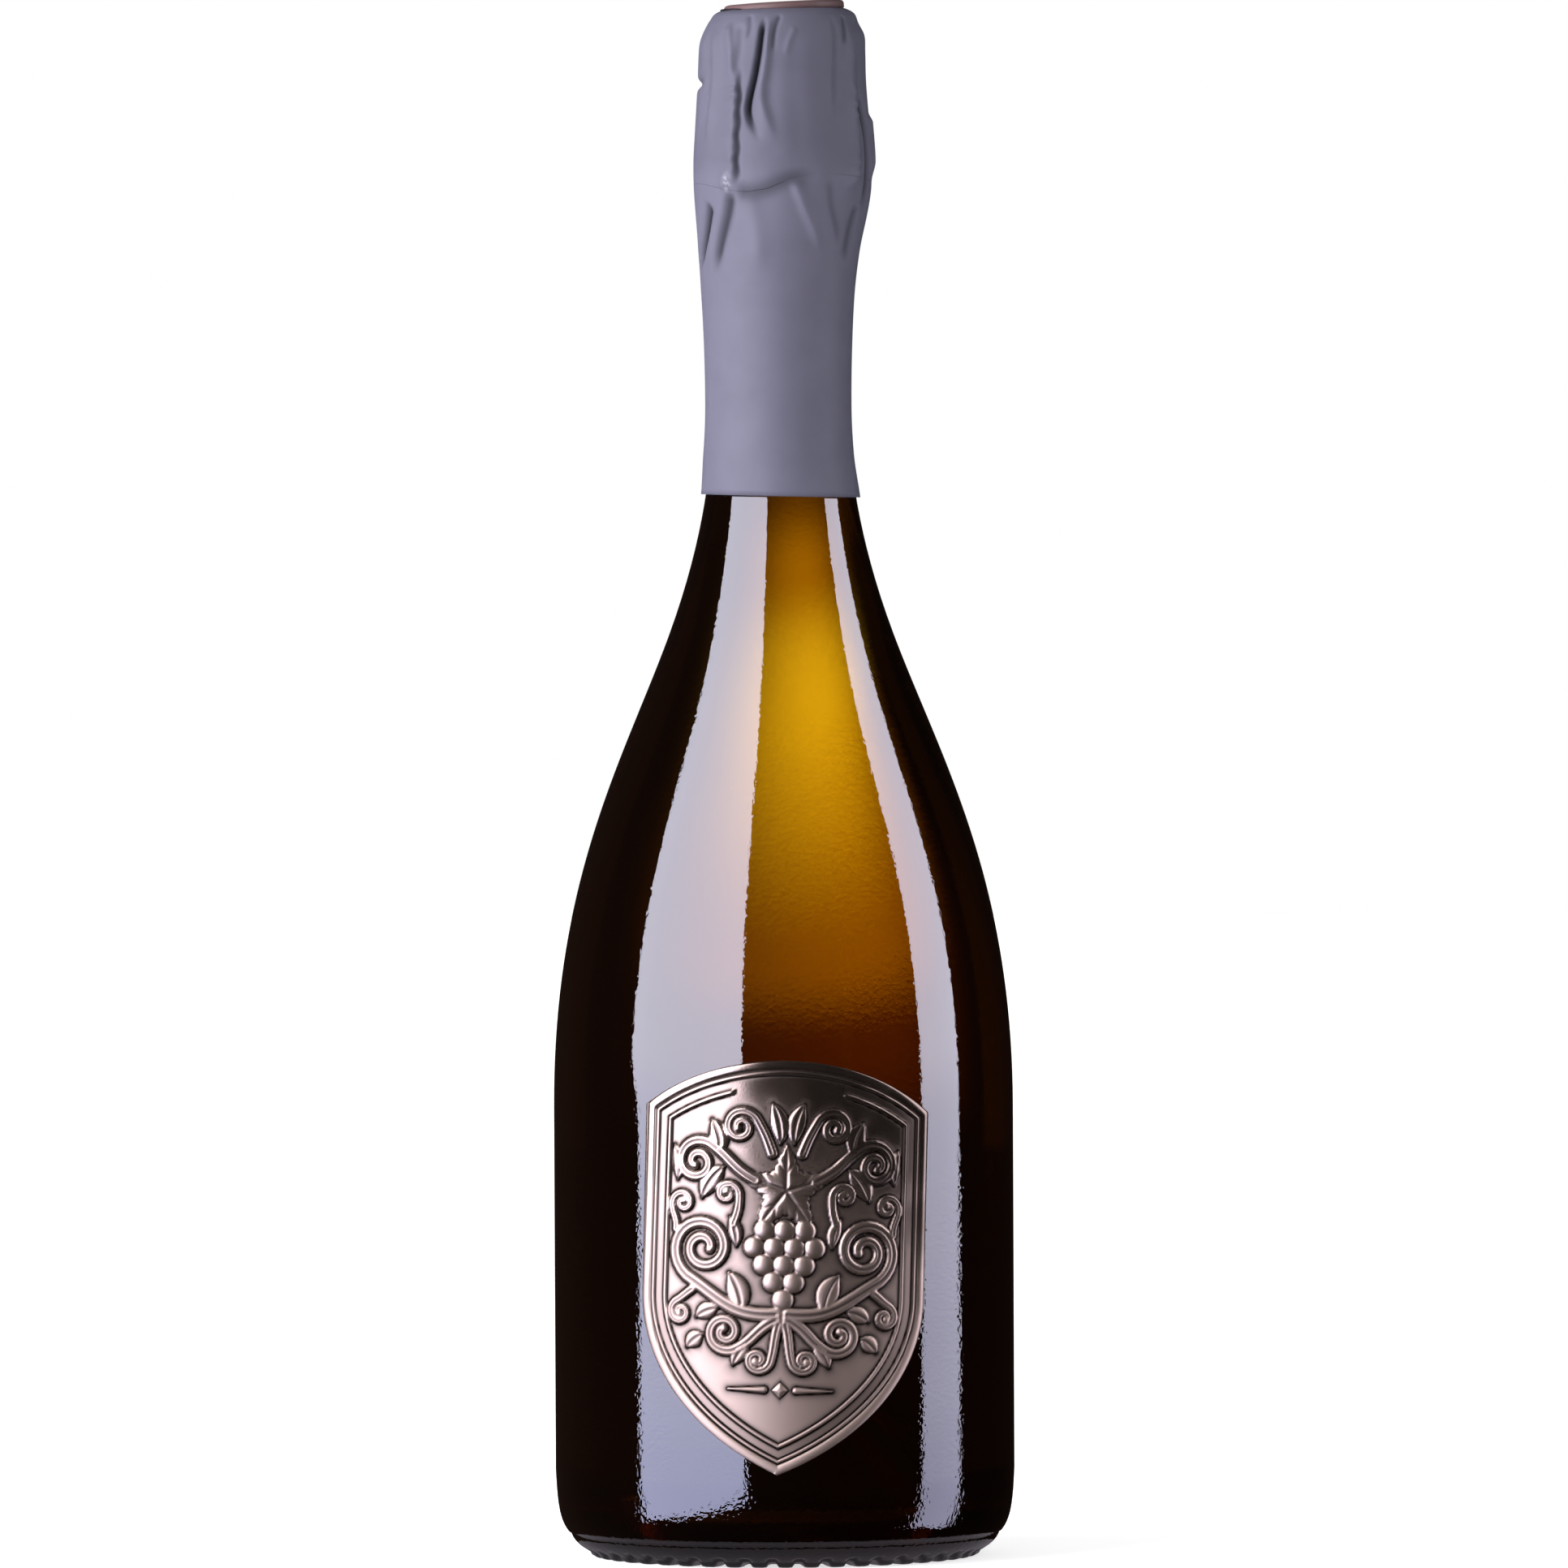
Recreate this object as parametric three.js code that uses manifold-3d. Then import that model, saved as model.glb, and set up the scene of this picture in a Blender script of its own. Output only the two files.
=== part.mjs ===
// A sparkling wine bottle with its cork, wire cage, foil and metal front label.
// Millimetres, +Z up. The bottle stands on z = 0 on the Z axis, and its label faces -Y.
// A bearing is an angle round the bottle, counted from the label towards +X.

import * as THREE from 'three';
import { mergeVertices } from 'three/addons/utils/BufferGeometryUtils.js';
import Module from 'manifold-3d';

const wasm = await Module();
wasm.setup();

// Driving dimensions: the glass
const GLASS_SIDES = 40;
const BODY_RADIUS = 47;
const GLASS_HEIGHT = 300;
const STANDING_RING = { inner: 35.5, outer: 38.5 };
const HEEL_TOP = 14;
const PUNT_HEIGHT = 33;
const SHOULDER_FOOT = 92;
const SHOULDER_TURN = { radius: 23, height: 188.5, slope: 0.37 };
const NECK = { radius: 14.4, foot: 242 };
const BODY_WALL = 5.9;
const NECK_WALL = 4.75;
const BORE_RADIUS = 8.8;
const FINISH_RING = { radius: 15.75, bottom: 282.3, top: 289.2 };
const CROWN_BEAD = { radius: 14.3, bottom: 292.6 };
const KNURL = { count: 46, width: 1.5, depth: 0.8, inner: 34, outer: 40 };

// Driving dimensions: the wine and the cork
const CLEARANCE = 0.3;
const FILL_HEIGHT = 226;
const CORK = { sides: 30, shank: 8.5, head: 14.6, bottom: 275.5, top: 315, disc: 5.8 };

// Driving dimensions: the wire cage
const LEG_BEARINGS = [-32, 58, 148, 238];
const LEG_WIRE = 0.7;
const LEG_TURNS = 4;
const LEG_POINTS = 32;
const STRAND_GAP = 0.26;
const TOP_RING = { radius: 11.6, height: 316 };
const EYE = { radius: 16.6, width: 1.85, top: 283.2, middle: 281.1, bottom: 278.8 };
const BELT = { wire: 1, radius: 15.2, height: 280.9, bump: 2.5, reach: 3.2, points: 96 };
const LOOP = { wire: 0.8, bearing: 193, turns: 3, foot: 281.9, twistFoot: 283.6, twistTop: 293.2, ring: 3.4 };
const CAP = { sides: 30, radius: 12.9, sheet: 0.35 };

// Driving dimensions: the foil
const FOIL_SIDES = 32;
const FOIL_SHEET = 0.25;
const FOIL_CUT = 281;
const FOIL_RADIUS = 18.55;
const SKIRT_FOOT = 216.9;
const TOP_DISC = { radius: 12.4, bottom: 317.15, opening: 9 };

// Driving dimensions: the label
const LABEL = { halfWidth: 31, side: 38, corner: 75.3, apex: 84.5, tip: 17, tilt: 2.3 };
const LABEL_ROWS = 7;
const GLUE = { radius: 47.3, thickness: 0.25, margin: 1.5 };
const PLATE = { radius: 47.85, thickness: 0.5, rim: 0.35 };

const radians = THREE.MathUtils.degToRad;
const at = (radius, height) => new THREE.Vector2(radius, height);

// Profiles: each is a list of (radius, height) points

function bend(from, fromControl, toControl, to, segments) {
  return new THREE.CubicBezierCurve(from, fromControl, toControl, to).getPoints(segments);
}

// Moves every point of a profile to the left of its direction of travel.
function offset(points, distanceAt) {
  return points.map((point, i) => {
    const before = points[Math.max(i - 1, 0)];
    const after = points[Math.min(i + 1, points.length - 1)];
    const along = after.clone().sub(before).normalize();
    const distance = distanceAt(i / (points.length - 1));
    return at(point.x - along.y * distance, point.y + along.x * distance);
  });
}

function turned(profile, sides) {
  return new THREE.LatheGeometry(profile, sides).rotateX(Math.PI / 2);
}

// A sheet of even thickness turned about the axis, given its outer face from bottom to top.
function turnedSheet(outer, thickness, sides) {
  const inner = offset(outer, () => thickness);
  inner[0].y = outer[0].y;
  return turned([...outer, ...inner.reverse(), outer[0].clone()], sides);
}

// Solids: joining and cutting

function toSolid(geometry) {
  const bare = geometry.clone();
  bare.deleteAttribute('normal');
  bare.deleteAttribute('uv');
  const merged = mergeVertices(bare, 1e-4);
  const vertProperties = new Float32Array(merged.attributes.position.array);
  const triVerts = new Uint32Array(merged.index.array);
  return new wasm.Manifold(new wasm.Mesh({ numProp: 3, vertProperties, triVerts }));
}

function toGeometry(solid) {
  const mesh = solid.getMesh();
  const geometry = new THREE.BufferGeometry();
  geometry.setAttribute('position', new THREE.BufferAttribute(new Float32Array(mesh.vertProperties), 3));
  geometry.setIndex([...mesh.triVerts]);
  return geometry;
}

// Wires: a point beside the bottle, given by its bearing, its distance out and its distance sideways
function beside(bearing, outward, sideways, height) {
  const angle = radians(bearing);
  const x = outward * Math.sin(angle) + sideways * Math.cos(angle);
  const y = -outward * Math.cos(angle) + sideways * Math.sin(angle);
  return new THREE.Vector3(x, y, height);
}

function wire(points, diameter, steps, sides) {
  const section = new THREE.Shape();
  for (let i = 0; i < sides; i += 1) {
    const angle = (2 * Math.PI * i) / sides;
    const x = (diameter / 2) * Math.cos(angle);
    const y = (diameter / 2) * Math.sin(angle);
    if (i === 0) section.moveTo(x, y);
    else section.lineTo(x, y);
  }
  const extrudePath = new THREE.CatmullRomCurve3(points, false, 'centripetal');
  return new THREE.ExtrudeGeometry(section, { steps, extrudePath, bevelEnabled: false });
}

// Glass bottle: punt, standing ring, heel, body, shoulder, neck and finish in one wall

const shoulderTurn = at(SHOULDER_TURN.radius, SHOULDER_TURN.height);
const turnControl = (length) => at(
  SHOULDER_TURN.radius - SHOULDER_TURN.slope * length,
  SHOULDER_TURN.height + length,
);
const outerShoulder = [
  ...bend(
    at(BODY_RADIUS, SHOULDER_FOOT),
    at(BODY_RADIUS, SHOULDER_FOOT + 47),
    turnControl(-25),
    shoulderTurn,
    8,
  ),
  ...bend(
    shoulderTurn,
    turnControl(32),
    at(NECK.radius, NECK.foot - 2),
    at(NECK.radius, NECK.foot),
    5,
  ).slice(1),
];

const outerFoot = [
  ...bend(at(0, PUNT_HEIGHT), at(15, PUNT_HEIGHT), at(26, 0), at(STANDING_RING.inner, 0), 5),
  ...bend(at(STANDING_RING.outer, 0), at(43.5, 0.6), at(BODY_RADIUS, 5.5), at(BODY_RADIUS, HEEL_TOP), 5),
];

const finish = [
  at(NECK.radius, FINISH_RING.bottom - 0.5),
  at(FINISH_RING.radius - 0.3, FINISH_RING.bottom),
  at(FINISH_RING.radius, FINISH_RING.bottom + 0.5),
  at(FINISH_RING.radius, FINISH_RING.top - 1.4),
  at(FINISH_RING.radius - 1, FINISH_RING.top),
  at(CROWN_BEAD.radius - 1.2, FINISH_RING.top + 0.8),
  at(CROWN_BEAD.radius - 1.2, CROWN_BEAD.bottom - 0.8),
  at(CROWN_BEAD.radius, CROWN_BEAD.bottom),
  ...bend(
    at(CROWN_BEAD.radius, GLASS_HEIGHT - 3),
    at(CROWN_BEAD.radius, GLASS_HEIGHT - 0.8),
    at(CROWN_BEAD.radius - 1, GLASS_HEIGHT),
    at(CROWN_BEAD.radius - 2.6, GLASS_HEIGHT),
    3,
  ),
  at(BORE_RADIUS + 0.6, GLASS_HEIGHT),
  at(BORE_RADIUS, GLASS_HEIGHT - 1.2),
  at(BORE_RADIUS, CORK.bottom - 7),
];

const innerRadius = BODY_RADIUS - BODY_WALL;
const innerShoulder = offset(outerShoulder, (t) => BODY_WALL + (NECK_WALL - BODY_WALL) * t);
const innerFoot = [
  ...bend(at(0, PUNT_HEIGHT + 7), at(16, PUNT_HEIGHT + 7), at(24, 10.8), at(31, 10), 5),
  ...bend(at(31, 10), at(37.5, 9.4), at(innerRadius, 13), at(innerRadius, 21), 4).slice(1),
];
const inside = [...innerFoot, ...innerShoulder];

function glassBottle() {
  const blank = turned([...outerFoot, ...outerShoulder, ...finish, ...inside.slice().reverse()], GLASS_SIDES);
  let bottle = toSolid(blank);
  // The knurls are notches across the standing ring, so that the glass stands on small lands.
  const notch = new THREE.BoxGeometry(KNURL.width, KNURL.outer - KNURL.inner, 2 * KNURL.depth);
  notch.translate(0, -(KNURL.inner + KNURL.outer) / 2, 0);
  for (let i = 0; i < KNURL.count; i += 1) {
    const cutter = notch.clone().rotateZ((2 * Math.PI * (i + 0.5)) / KNURL.count);
    bottle = bottle.subtract(toSolid(cutter));
  }
  return toGeometry(bottle);
}

// Wine: it fills the glass to the fill height, a little clear of the wall

function wine() {
  const wetted = offset(inside, () => CLEARANCE);
  wetted[0].x = 0;
  const above = wetted.findLastIndex((point) => point.y < FILL_HEIGHT) + 1;
  const below = wetted[above - 1];
  const share = (FILL_HEIGHT - below.y) / (wetted[above].y - below.y);
  const shore = below.clone().lerp(wetted[above], share);
  return turned([...wetted.slice(0, above), shore, at(0, FILL_HEIGHT)], GLASS_SIDES);
}

// Cork: an agglomerate stopper with a mushroom head, and two discs of natural cork under it

const discPitch = CORK.disc + CLEARANCE;

const corkCrown = [
  at(CORK.head, 307),
  at(CORK.head - 0.2, 309.6),
  at(CORK.head - 1.5, 312.6),
  at(CORK.head - 3.6, CORK.top - 0.4),
  at(0, CORK.top),
];

function corkBody() {
  const bottom = CORK.bottom + 2 * discPitch;
  const neck = GLASS_HEIGHT - 0.8;
  const flare = bend(at(CORK.shank, neck), at(CORK.shank, 302), at(CORK.head, 301.5), at(CORK.head, 305), 5);
  return turned([at(0, bottom), at(CORK.shank, bottom), ...flare, ...corkCrown], CORK.sides);
}

function corkDisc(place) {
  const bottom = CORK.bottom + place * discPitch;
  const rim = [at(CORK.shank, bottom), at(CORK.shank, bottom + CORK.disc)];
  return turned([at(0, bottom), ...rim, at(0, bottom + CORK.disc)], CORK.sides);
}

// Cage cap: the pressed disc between the wires and the cork, which follows the top of the cork

function cageCap() {
  const edge = at(CAP.radius, 313.75);
  const under = [at(0, CORK.top + CLEARANCE), at(11, CORK.top - 0.05), edge];
  const over = offset(under, () => CAP.sheet);
  over[0].x = 0;
  return turned([...under, ...over.reverse()], CAP.sides);
}

// Cage wires: each one runs up a leg, along a quarter of the top ring and down the next leg,
// and is twisted in each leg with the wire beside it. Its first end turns round the belt as an eye.

const legLine = new THREE.SplineCurve([
  at(15.75, 309),
  at(15.95, 304),
  at(16.2, 299.5),
  at(16.75, 293.5),
  at(17.1, 288.5),
  at(17.1, 284.8),
]);
const strandOffset = (LEG_WIRE + STRAND_GAP) / 2;

function strand(bearing, side) {
  const points = [];
  for (let i = 0; i <= LEG_POINTS; i += 1) {
    const along = i / LEG_POINTS;
    const centre = legLine.getPointAt(along);
    const turn = (side * Math.PI) / 2 + 2 * Math.PI * LEG_TURNS * along;
    const outward = centre.x + strandOffset * Math.cos(turn);
    points.push(beside(bearing, outward, strandOffset * Math.sin(turn), centre.y));
  }
  return points;
}

// The way from the top ring over the edge of the cork to the head of a leg.
function overTheEdge(bearing, side) {
  return [
    beside(bearing, 12.3, side * 1.05, 315.75),
    beside(bearing, 13.75, side * 0.62, 314.4),
    beside(bearing, 15.1, side * 0.5, 312),
  ];
}

function eye(bearing) {
  const { radius, width, top, middle, bottom } = EYE;
  const half = [
    beside(bearing, radius + 0.15, width * 0.75, top),
    beside(bearing, radius, width, middle),
    beside(bearing, radius, width * 0.7, bottom + 0.6),
    beside(bearing, radius, 0, bottom),
  ];
  const back = [
    beside(bearing, radius, -width * 0.7, bottom + 0.6),
    beside(bearing, radius, -width, middle),
    beside(bearing, radius + 0.15, -width * 0.8, top - 0.2),
  ];
  return [...half, ...back];
}

function cageWire(first, second) {
  const quarter = [15, 30, 45, 60, 75].map((turn) => beside(first + turn, TOP_RING.radius, 0, TOP_RING.height));
  const path = [
    ...eye(first).reverse(),
    ...strand(first, 1).reverse(),
    ...overTheEdge(first, 1).reverse(),
    ...quarter,
    ...overTheEdge(second, -1),
    ...strand(second, -1),
  ];
  return wire(path, LEG_WIRE, 94, 5);
}

// Cage belt: it lies under the finish ring and passes through each leg's eye, over its far strand

function cageBelt() {
  const opening = 5;
  const points = [];
  for (let i = 0; i <= BELT.points; i += 1) {
    const bearing = LOOP.bearing + opening + ((360 - 2 * opening) * i) / BELT.points;
    let radius = BELT.radius;
    for (const leg of LEG_BEARINGS) {
      const crossing = leg - THREE.MathUtils.radToDeg(EYE.width / EYE.radius);
      const apart = THREE.MathUtils.euclideanModulo(bearing - crossing + 180, 360) - 180;
      const away = Math.abs(radians(apart)) * EYE.radius;
      if (away < BELT.reach) radius += BELT.bump * Math.cos((Math.PI / 2) * (away / BELT.reach)) ** 2;
    }
    points.push(beside(bearing, radius, 0, BELT.height));
  }
  return wire(points, BELT.wire, 96, 5);
}

// Cage loop: the belt's twisted tail and its ring for the fingers, folded up against the bottle

function cageLoop() {
  const { bearing, foot, twistFoot, twistTop, ring, turns } = LOOP;
  const spread = (LOOP.wire + STRAND_GAP) / 2;
  const stem = (side) => {
    const points = [beside(bearing, 16.5, side * 1.3, foot)];
    for (let i = 0; i <= 8 * turns; i += 1) {
      const along = i / (8 * turns);
      const turn = (side * Math.PI) / 2 + 2 * Math.PI * turns * along;
      const height = twistFoot + (twistTop - twistFoot) * along;
      points.push(beside(bearing, 16.95 - 0.2 * along + spread * Math.cos(turn), spread * Math.sin(turn), height));
    }
    return points;
  };
  const round = [];
  for (let i = 0; i <= 12; i += 1) {
    const turn = radians(-60 + (300 * i) / 12);
    const height = twistTop + 1.4 + ring + ring * Math.sin(turn);
    round.push(beside(bearing, 16.45, ring * Math.cos(turn), height));
  }
  const path = [...stem(1), ...round, ...stem(-1).reverse()];
  return wire(path, LOOP.wire, 76, 5);
}

// Foil: a skirt stuck round the neck, a hood torn off above the cut, and a disc on top of the hood

function foilSkirt() {
  const outer = new THREE.SplineCurve([
    at(16.45, SKIRT_FOOT),
    at(15.2, 229),
    at(15, 238),
    at(15.4, 253),
    at(16.4, 265),
    at(17.9, 275),
    at(FOIL_RADIUS, FOIL_CUT - CLEARANCE / 2),
  ]).getPoints(8);
  return turnedSheet(outer, FOIL_SHEET, FOIL_SIDES);
}

function foilHood() {
  const side = new THREE.SplineCurve([
    at(FOIL_RADIUS, FOIL_CUT + CLEARANCE / 2),
    at(FOIL_RADIUS - 0.05, 287),
    at(17.85, 294.5),
    at(17.4, 301),
    at(17.2, 308),
  ]).getPoints(5);
  const crown = bend(at(16.7, 311.4), at(15.9, 313.4), at(14.2, 316.9), at(12.4, 316.9), 3);
  return turnedSheet([...side, ...crown, at(TOP_DISC.opening, 316.9)], FOIL_SHEET, FOIL_SIDES);
}

function foilTopDisc() {
  const { radius, bottom } = TOP_DISC;
  const top = bottom + FOIL_SHEET;
  return turned([at(0, bottom), at(radius, bottom), at(radius, top), at(0, top)], FOIL_SIDES);
}

// Label: a shield with an arched top, bent round the bottle and a little askew

const shieldSide = new THREE.CubicBezierCurve(
  at(0, 0),
  at(15, 6.5),
  at(LABEL.halfWidth, LABEL.side - 16),
  at(LABEL.halfWidth, LABEL.side),
);
const archRise = LABEL.apex - LABEL.corner;
const archRadius = (LABEL.halfWidth ** 2 + archRise ** 2) / (2 * archRise);
const archHeight = (across) => LABEL.apex - archRadius + Math.sqrt(archRadius ** 2 - across ** 2);

// The shield's point at a share of the way up, below or above the straight sides, and across.
function shieldPoint(up, across) {
  if (up <= 1) {
    const edge = shieldSide.getPoint(up);
    return at(edge.x * across, edge.y);
  }
  const x = LABEL.halfWidth * across;
  return at(x, LABEL.side + (archHeight(x) - LABEL.side) * (up - 1));
}

// Shares of the way up and across: the first and last two of each make the rim.
const SHIELD_UP = [0, 0.06, 0.1];
for (let i = 1; i <= LABEL_ROWS; i += 1) SHIELD_UP.push(0.1 + (0.9 * i) / LABEL_ROWS);
SHIELD_UP.push(1.3, 1.6, 1.92, 1.95, 2);
const SHIELD_ACROSS = [-1, -0.95, -0.92, -0.7, -0.45, -0.2, 0, 0.2, 0.45, 0.7, 0.92, 0.95, 1];

function bentShield({ radius, thickness, rim = 0, margin = 0 }) {
  const positions = [];
  const index = [];
  const columns = SHIELD_ACROSS.length;
  const rows = SHIELD_UP.length;
  const middle = at(0, (LABEL.side + LABEL.corner) / 2);
  const shrink = 1 - margin / LABEL.halfWidth;
  const layer = rows * columns;
  for (const front of [true, false]) {
    SHIELD_UP.forEach((up, row) => {
      SHIELD_ACROSS.forEach((across, column) => {
        const flat = shieldPoint(up, across).sub(middle).multiplyScalar(shrink);
        flat.rotateAround(at(0, 0), -radians(LABEL.tilt)).add(middle).add(at(0, LABEL.tip));
        const onRim = row < 2 || row > rows - 3 || column < 2 || column > columns - 3;
        const out = front ? radius + thickness + (onRim ? rim : 0) : radius;
        const bearing = flat.x / radius;
        positions.push(out * Math.sin(bearing), -out * Math.cos(bearing), flat.y);
      });
    });
  }
  const quad = (a, b, c, d) => index.push(a, b, c, a, c, d);
  for (let row = 0; row < rows - 1; row += 1) {
    for (let column = 0; column < columns - 1; column += 1) {
      const a = row * columns + column;
      quad(a, a + 1, a + columns + 1, a + columns);
      quad(layer + a, layer + a + columns, layer + a + columns + 1, layer + a + 1);
    }
    const left = row * columns;
    const right = left + columns - 1;
    quad(left, left + columns, layer + left + columns, layer + left);
    quad(right, layer + right, layer + right + columns, right + columns);
  }
  for (let column = 0; column < columns - 1; column += 1) {
    const top = (rows - 1) * columns + column;
    quad(column, layer + column, layer + column + 1, column + 1);
    quad(top, top + 1, layer + top + 1, layer + top);
  }
  const geometry = new THREE.BufferGeometry();
  geometry.setAttribute('position', new THREE.Float32BufferAttribute(positions, 3));
  geometry.setIndex(index);
  return geometry;
}

// Materials

const finishOf = (color, roughness, metalness) => new THREE.MeshStandardMaterial({ color, roughness, metalness });
const amberGlass = finishOf(0x3a1d06, 0.05, 0);
const paleWine = finishOf(0xd9b85a, 0.05, 0);
const agglomerate = finishOf(0xc49a68, 0.85, 0);
const naturalCork = finishOf(0xb98a58, 0.8, 0);
const cageSteel = finishOf(0x9a9ca3, 0.35, 1);
const capEnamel = finishOf(0x3d4150, 0.4, 0.6);
const slateFoil = finishOf(0x6c6d80, 0.45, 0.7);
const pewter = finishOf(0x9b9391, 0.35, 1);
const glueFilm = finishOf(0xd8d6cc, 0.7, 0);

// Assembly

const bottle = new THREE.Group();

function add(name, geometry, material) {
  const mesh = new THREE.Mesh(geometry, material);
  mesh.name = name;
  bottle.add(mesh);
}

add('glass_bottle', glassBottle(), amberGlass);
add('wine', wine(), paleWine);
add('label_adhesive', bentShield(GLUE), glueFilm);
add('front_label', bentShield(PLATE), pewter);
add('cork_disc_lower', corkDisc(0), naturalCork);
add('cork_disc_upper', corkDisc(1), naturalCork);
add('cork_body', corkBody(), agglomerate);
add('cage_cap', cageCap(), capEnamel);
LEG_BEARINGS.forEach((bearing, i) => {
  add(`cage_wire_${i + 1}`, cageWire(bearing, bearing + 90), cageSteel);
});
add('cage_belt', cageBelt(), cageSteel);
add('cage_loop', cageLoop(), cageSteel);
add('foil_skirt', foilSkirt(), slateFoil);
add('foil_hood', foilHood(), slateFoil);
add('foil_top_disc', foilTopDisc(), slateFoil);

export default bottle;
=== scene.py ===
import bpy
import math
import numpy as np
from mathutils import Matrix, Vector
from mathutils.geometry import interpolate_bezier


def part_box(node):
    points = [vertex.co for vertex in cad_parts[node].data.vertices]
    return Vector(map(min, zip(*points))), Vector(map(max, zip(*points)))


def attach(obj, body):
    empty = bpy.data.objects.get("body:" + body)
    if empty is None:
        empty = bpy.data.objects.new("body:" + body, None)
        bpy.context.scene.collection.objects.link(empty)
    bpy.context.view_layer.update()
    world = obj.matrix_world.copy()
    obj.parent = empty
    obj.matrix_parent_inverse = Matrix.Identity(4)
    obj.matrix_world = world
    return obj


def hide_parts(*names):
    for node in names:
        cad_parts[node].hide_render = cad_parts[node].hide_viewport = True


# Frame
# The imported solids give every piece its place. Sizes are written in millimetres, and MM makes metres of them.
# A bearing is an angle round the bottle, counted in degrees from the label towards +X.
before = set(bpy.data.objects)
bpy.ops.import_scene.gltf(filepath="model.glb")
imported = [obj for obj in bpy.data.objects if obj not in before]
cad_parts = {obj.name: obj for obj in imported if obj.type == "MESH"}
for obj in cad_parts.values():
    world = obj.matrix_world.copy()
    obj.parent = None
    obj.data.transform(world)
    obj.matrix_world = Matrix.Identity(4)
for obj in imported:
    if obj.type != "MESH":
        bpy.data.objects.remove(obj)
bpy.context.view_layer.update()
MM = 0.001

# Glass bottle
# One wall of dark amber container glass, blown in a mould and fire polished: a punt, a knurled standing
# ring, a mould line round the heel, a long sloping shoulder and a crown finish with the cage's ring.
_, glass_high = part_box("glass_bottle")
BODY_RADIUS = glass_high.x / MM
GLASS_HEIGHT = glass_high.z / MM
BODY_WALL, NECK_WALL = 5.9, 4.75
PUNT_HEIGHT, PUNT_INSIDE = 33, 40
STAND_INNER, STAND_OUTER = 35.5, 38.2
PLATE_RADIUS, PLATE_EDGE = 40, 43.9
MOULD_LINE = 4.9
HEEL_TOP = 18
FLOOR_RADIUS, FLOOR_HEIGHT = 31, 10
SHOULDER_FOOT = 92
TURN_RADIUS, TURN_HEIGHT, TURN_SLOPE = 23, 188.5, 0.37
NECK_RADIUS, NECK_FOOT = 14.4, 242
BORE_RADIUS, BORE_FOOT = 8.8, 268.5
RING_RADIUS, RING_BOTTOM, RING_TOP = 15.75, 282.3, 289.2
BEAD_RADIUS, BEAD_BOTTOM = 14.3, 292.6
KNURLS, SIDES_PER_KNURL, KNURL_DEPTH = 46, 8, 1.05


def linear(hex_colour):
    """Turns an sRGB hex colour into the linear RGBA that Blender's sockets take."""
    parts = [int(hex_colour[i:i + 2], 16) / 255 for i in (1, 3, 5)]
    return [c / 12.92 if c <= 0.04045 else ((c + 0.055) / 1.055) ** 2.4 for c in parts] + [1.0]


def fill(tree, node, inputs):
    """Fills a node's inputs by name or number: a socket is linked, and anything else is set."""
    for key, value in inputs.items():
        if isinstance(value, bpy.types.NodeSocket):
            tree.links.new(value, node.inputs[key])
        else:
            node.inputs[key].default_value = value


def add_node(tree, kind, inputs=None, **settings):
    """Adds a node, sets its properties and fills its inputs."""
    node = tree.nodes.new(kind)
    for name, value in settings.items():
        setattr(node, name, value)
    fill(tree, node, inputs or {})
    return node


def new_material(name):
    """Starts a material with a Principled BSDF, and returns it with its tree and that node."""
    material = bpy.data.materials.new(name)
    material.use_nodes = True
    tree = material.node_tree
    return material, tree, tree.nodes["Principled BSDF"]


def at(radius, height):
    """A point of a profile, in the plane that is turned about the axis."""
    return Vector((radius * MM, 0, height * MM))


def bend(start, start_handle, end_handle, end, count):
    """Points of one cubic stretch of a profile, from four controls as radius and height."""
    return interpolate_bezier(at(*start), at(*start_handle), at(*end_handle), at(*end), count)


def offset(points, distances):
    """Moves each point of a profile to the left of its direction of travel."""
    moved = []
    for i, point in enumerate(points):
        along = (points[min(i + 1, len(points) - 1)] - points[max(i - 1, 0)]).normalized()
        moved.append(point + Vector((-along.z, 0, along.x)) * float(distances[i] * MM))
    return moved


def shoulder_control(length):
    """A control on the straight line through the place where the shoulder turns into the neck."""
    return TURN_RADIUS - TURN_SLOPE * length, TURN_HEIGHT + length


outer_shoulder = bend(
    (BODY_RADIUS, SHOULDER_FOOT), (BODY_RADIUS, SHOULDER_FOOT + 47),
    shoulder_control(-25), shoulder_control(0), 40,
)
outer_shoulder += bend(
    shoulder_control(0), shoulder_control(32), (NECK_RADIUS, NECK_FOOT - 2), (NECK_RADIUS, NECK_FOOT), 26,
)[1:]

punt = bend((0, PUNT_HEIGHT), (15, PUNT_HEIGHT), (26, 0), (STAND_INNER, 0), 22)
# Below the mould line the heel belongs to the base plate of the mould, which is a little smaller.
standing_ring = bend((STAND_OUTER, 0), (39.3, 0), (39.8, 0.3), (PLATE_RADIUS, 1), 6)
base_plate = bend((PLATE_RADIUS, 1), (41.3, 1.7), (43.4, 3), (PLATE_EDGE, MOULD_LINE), 10)[1:]
heel = bend((PLATE_EDGE + 0.5, MOULD_LINE + 0.25), (46.2, 7.4), (46.7, 10.5), (BODY_RADIUS, HEEL_TOP), 14)
wall = [at(BODY_RADIUS, HEEL_TOP * k) for k in range(2, 5)]

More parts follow.
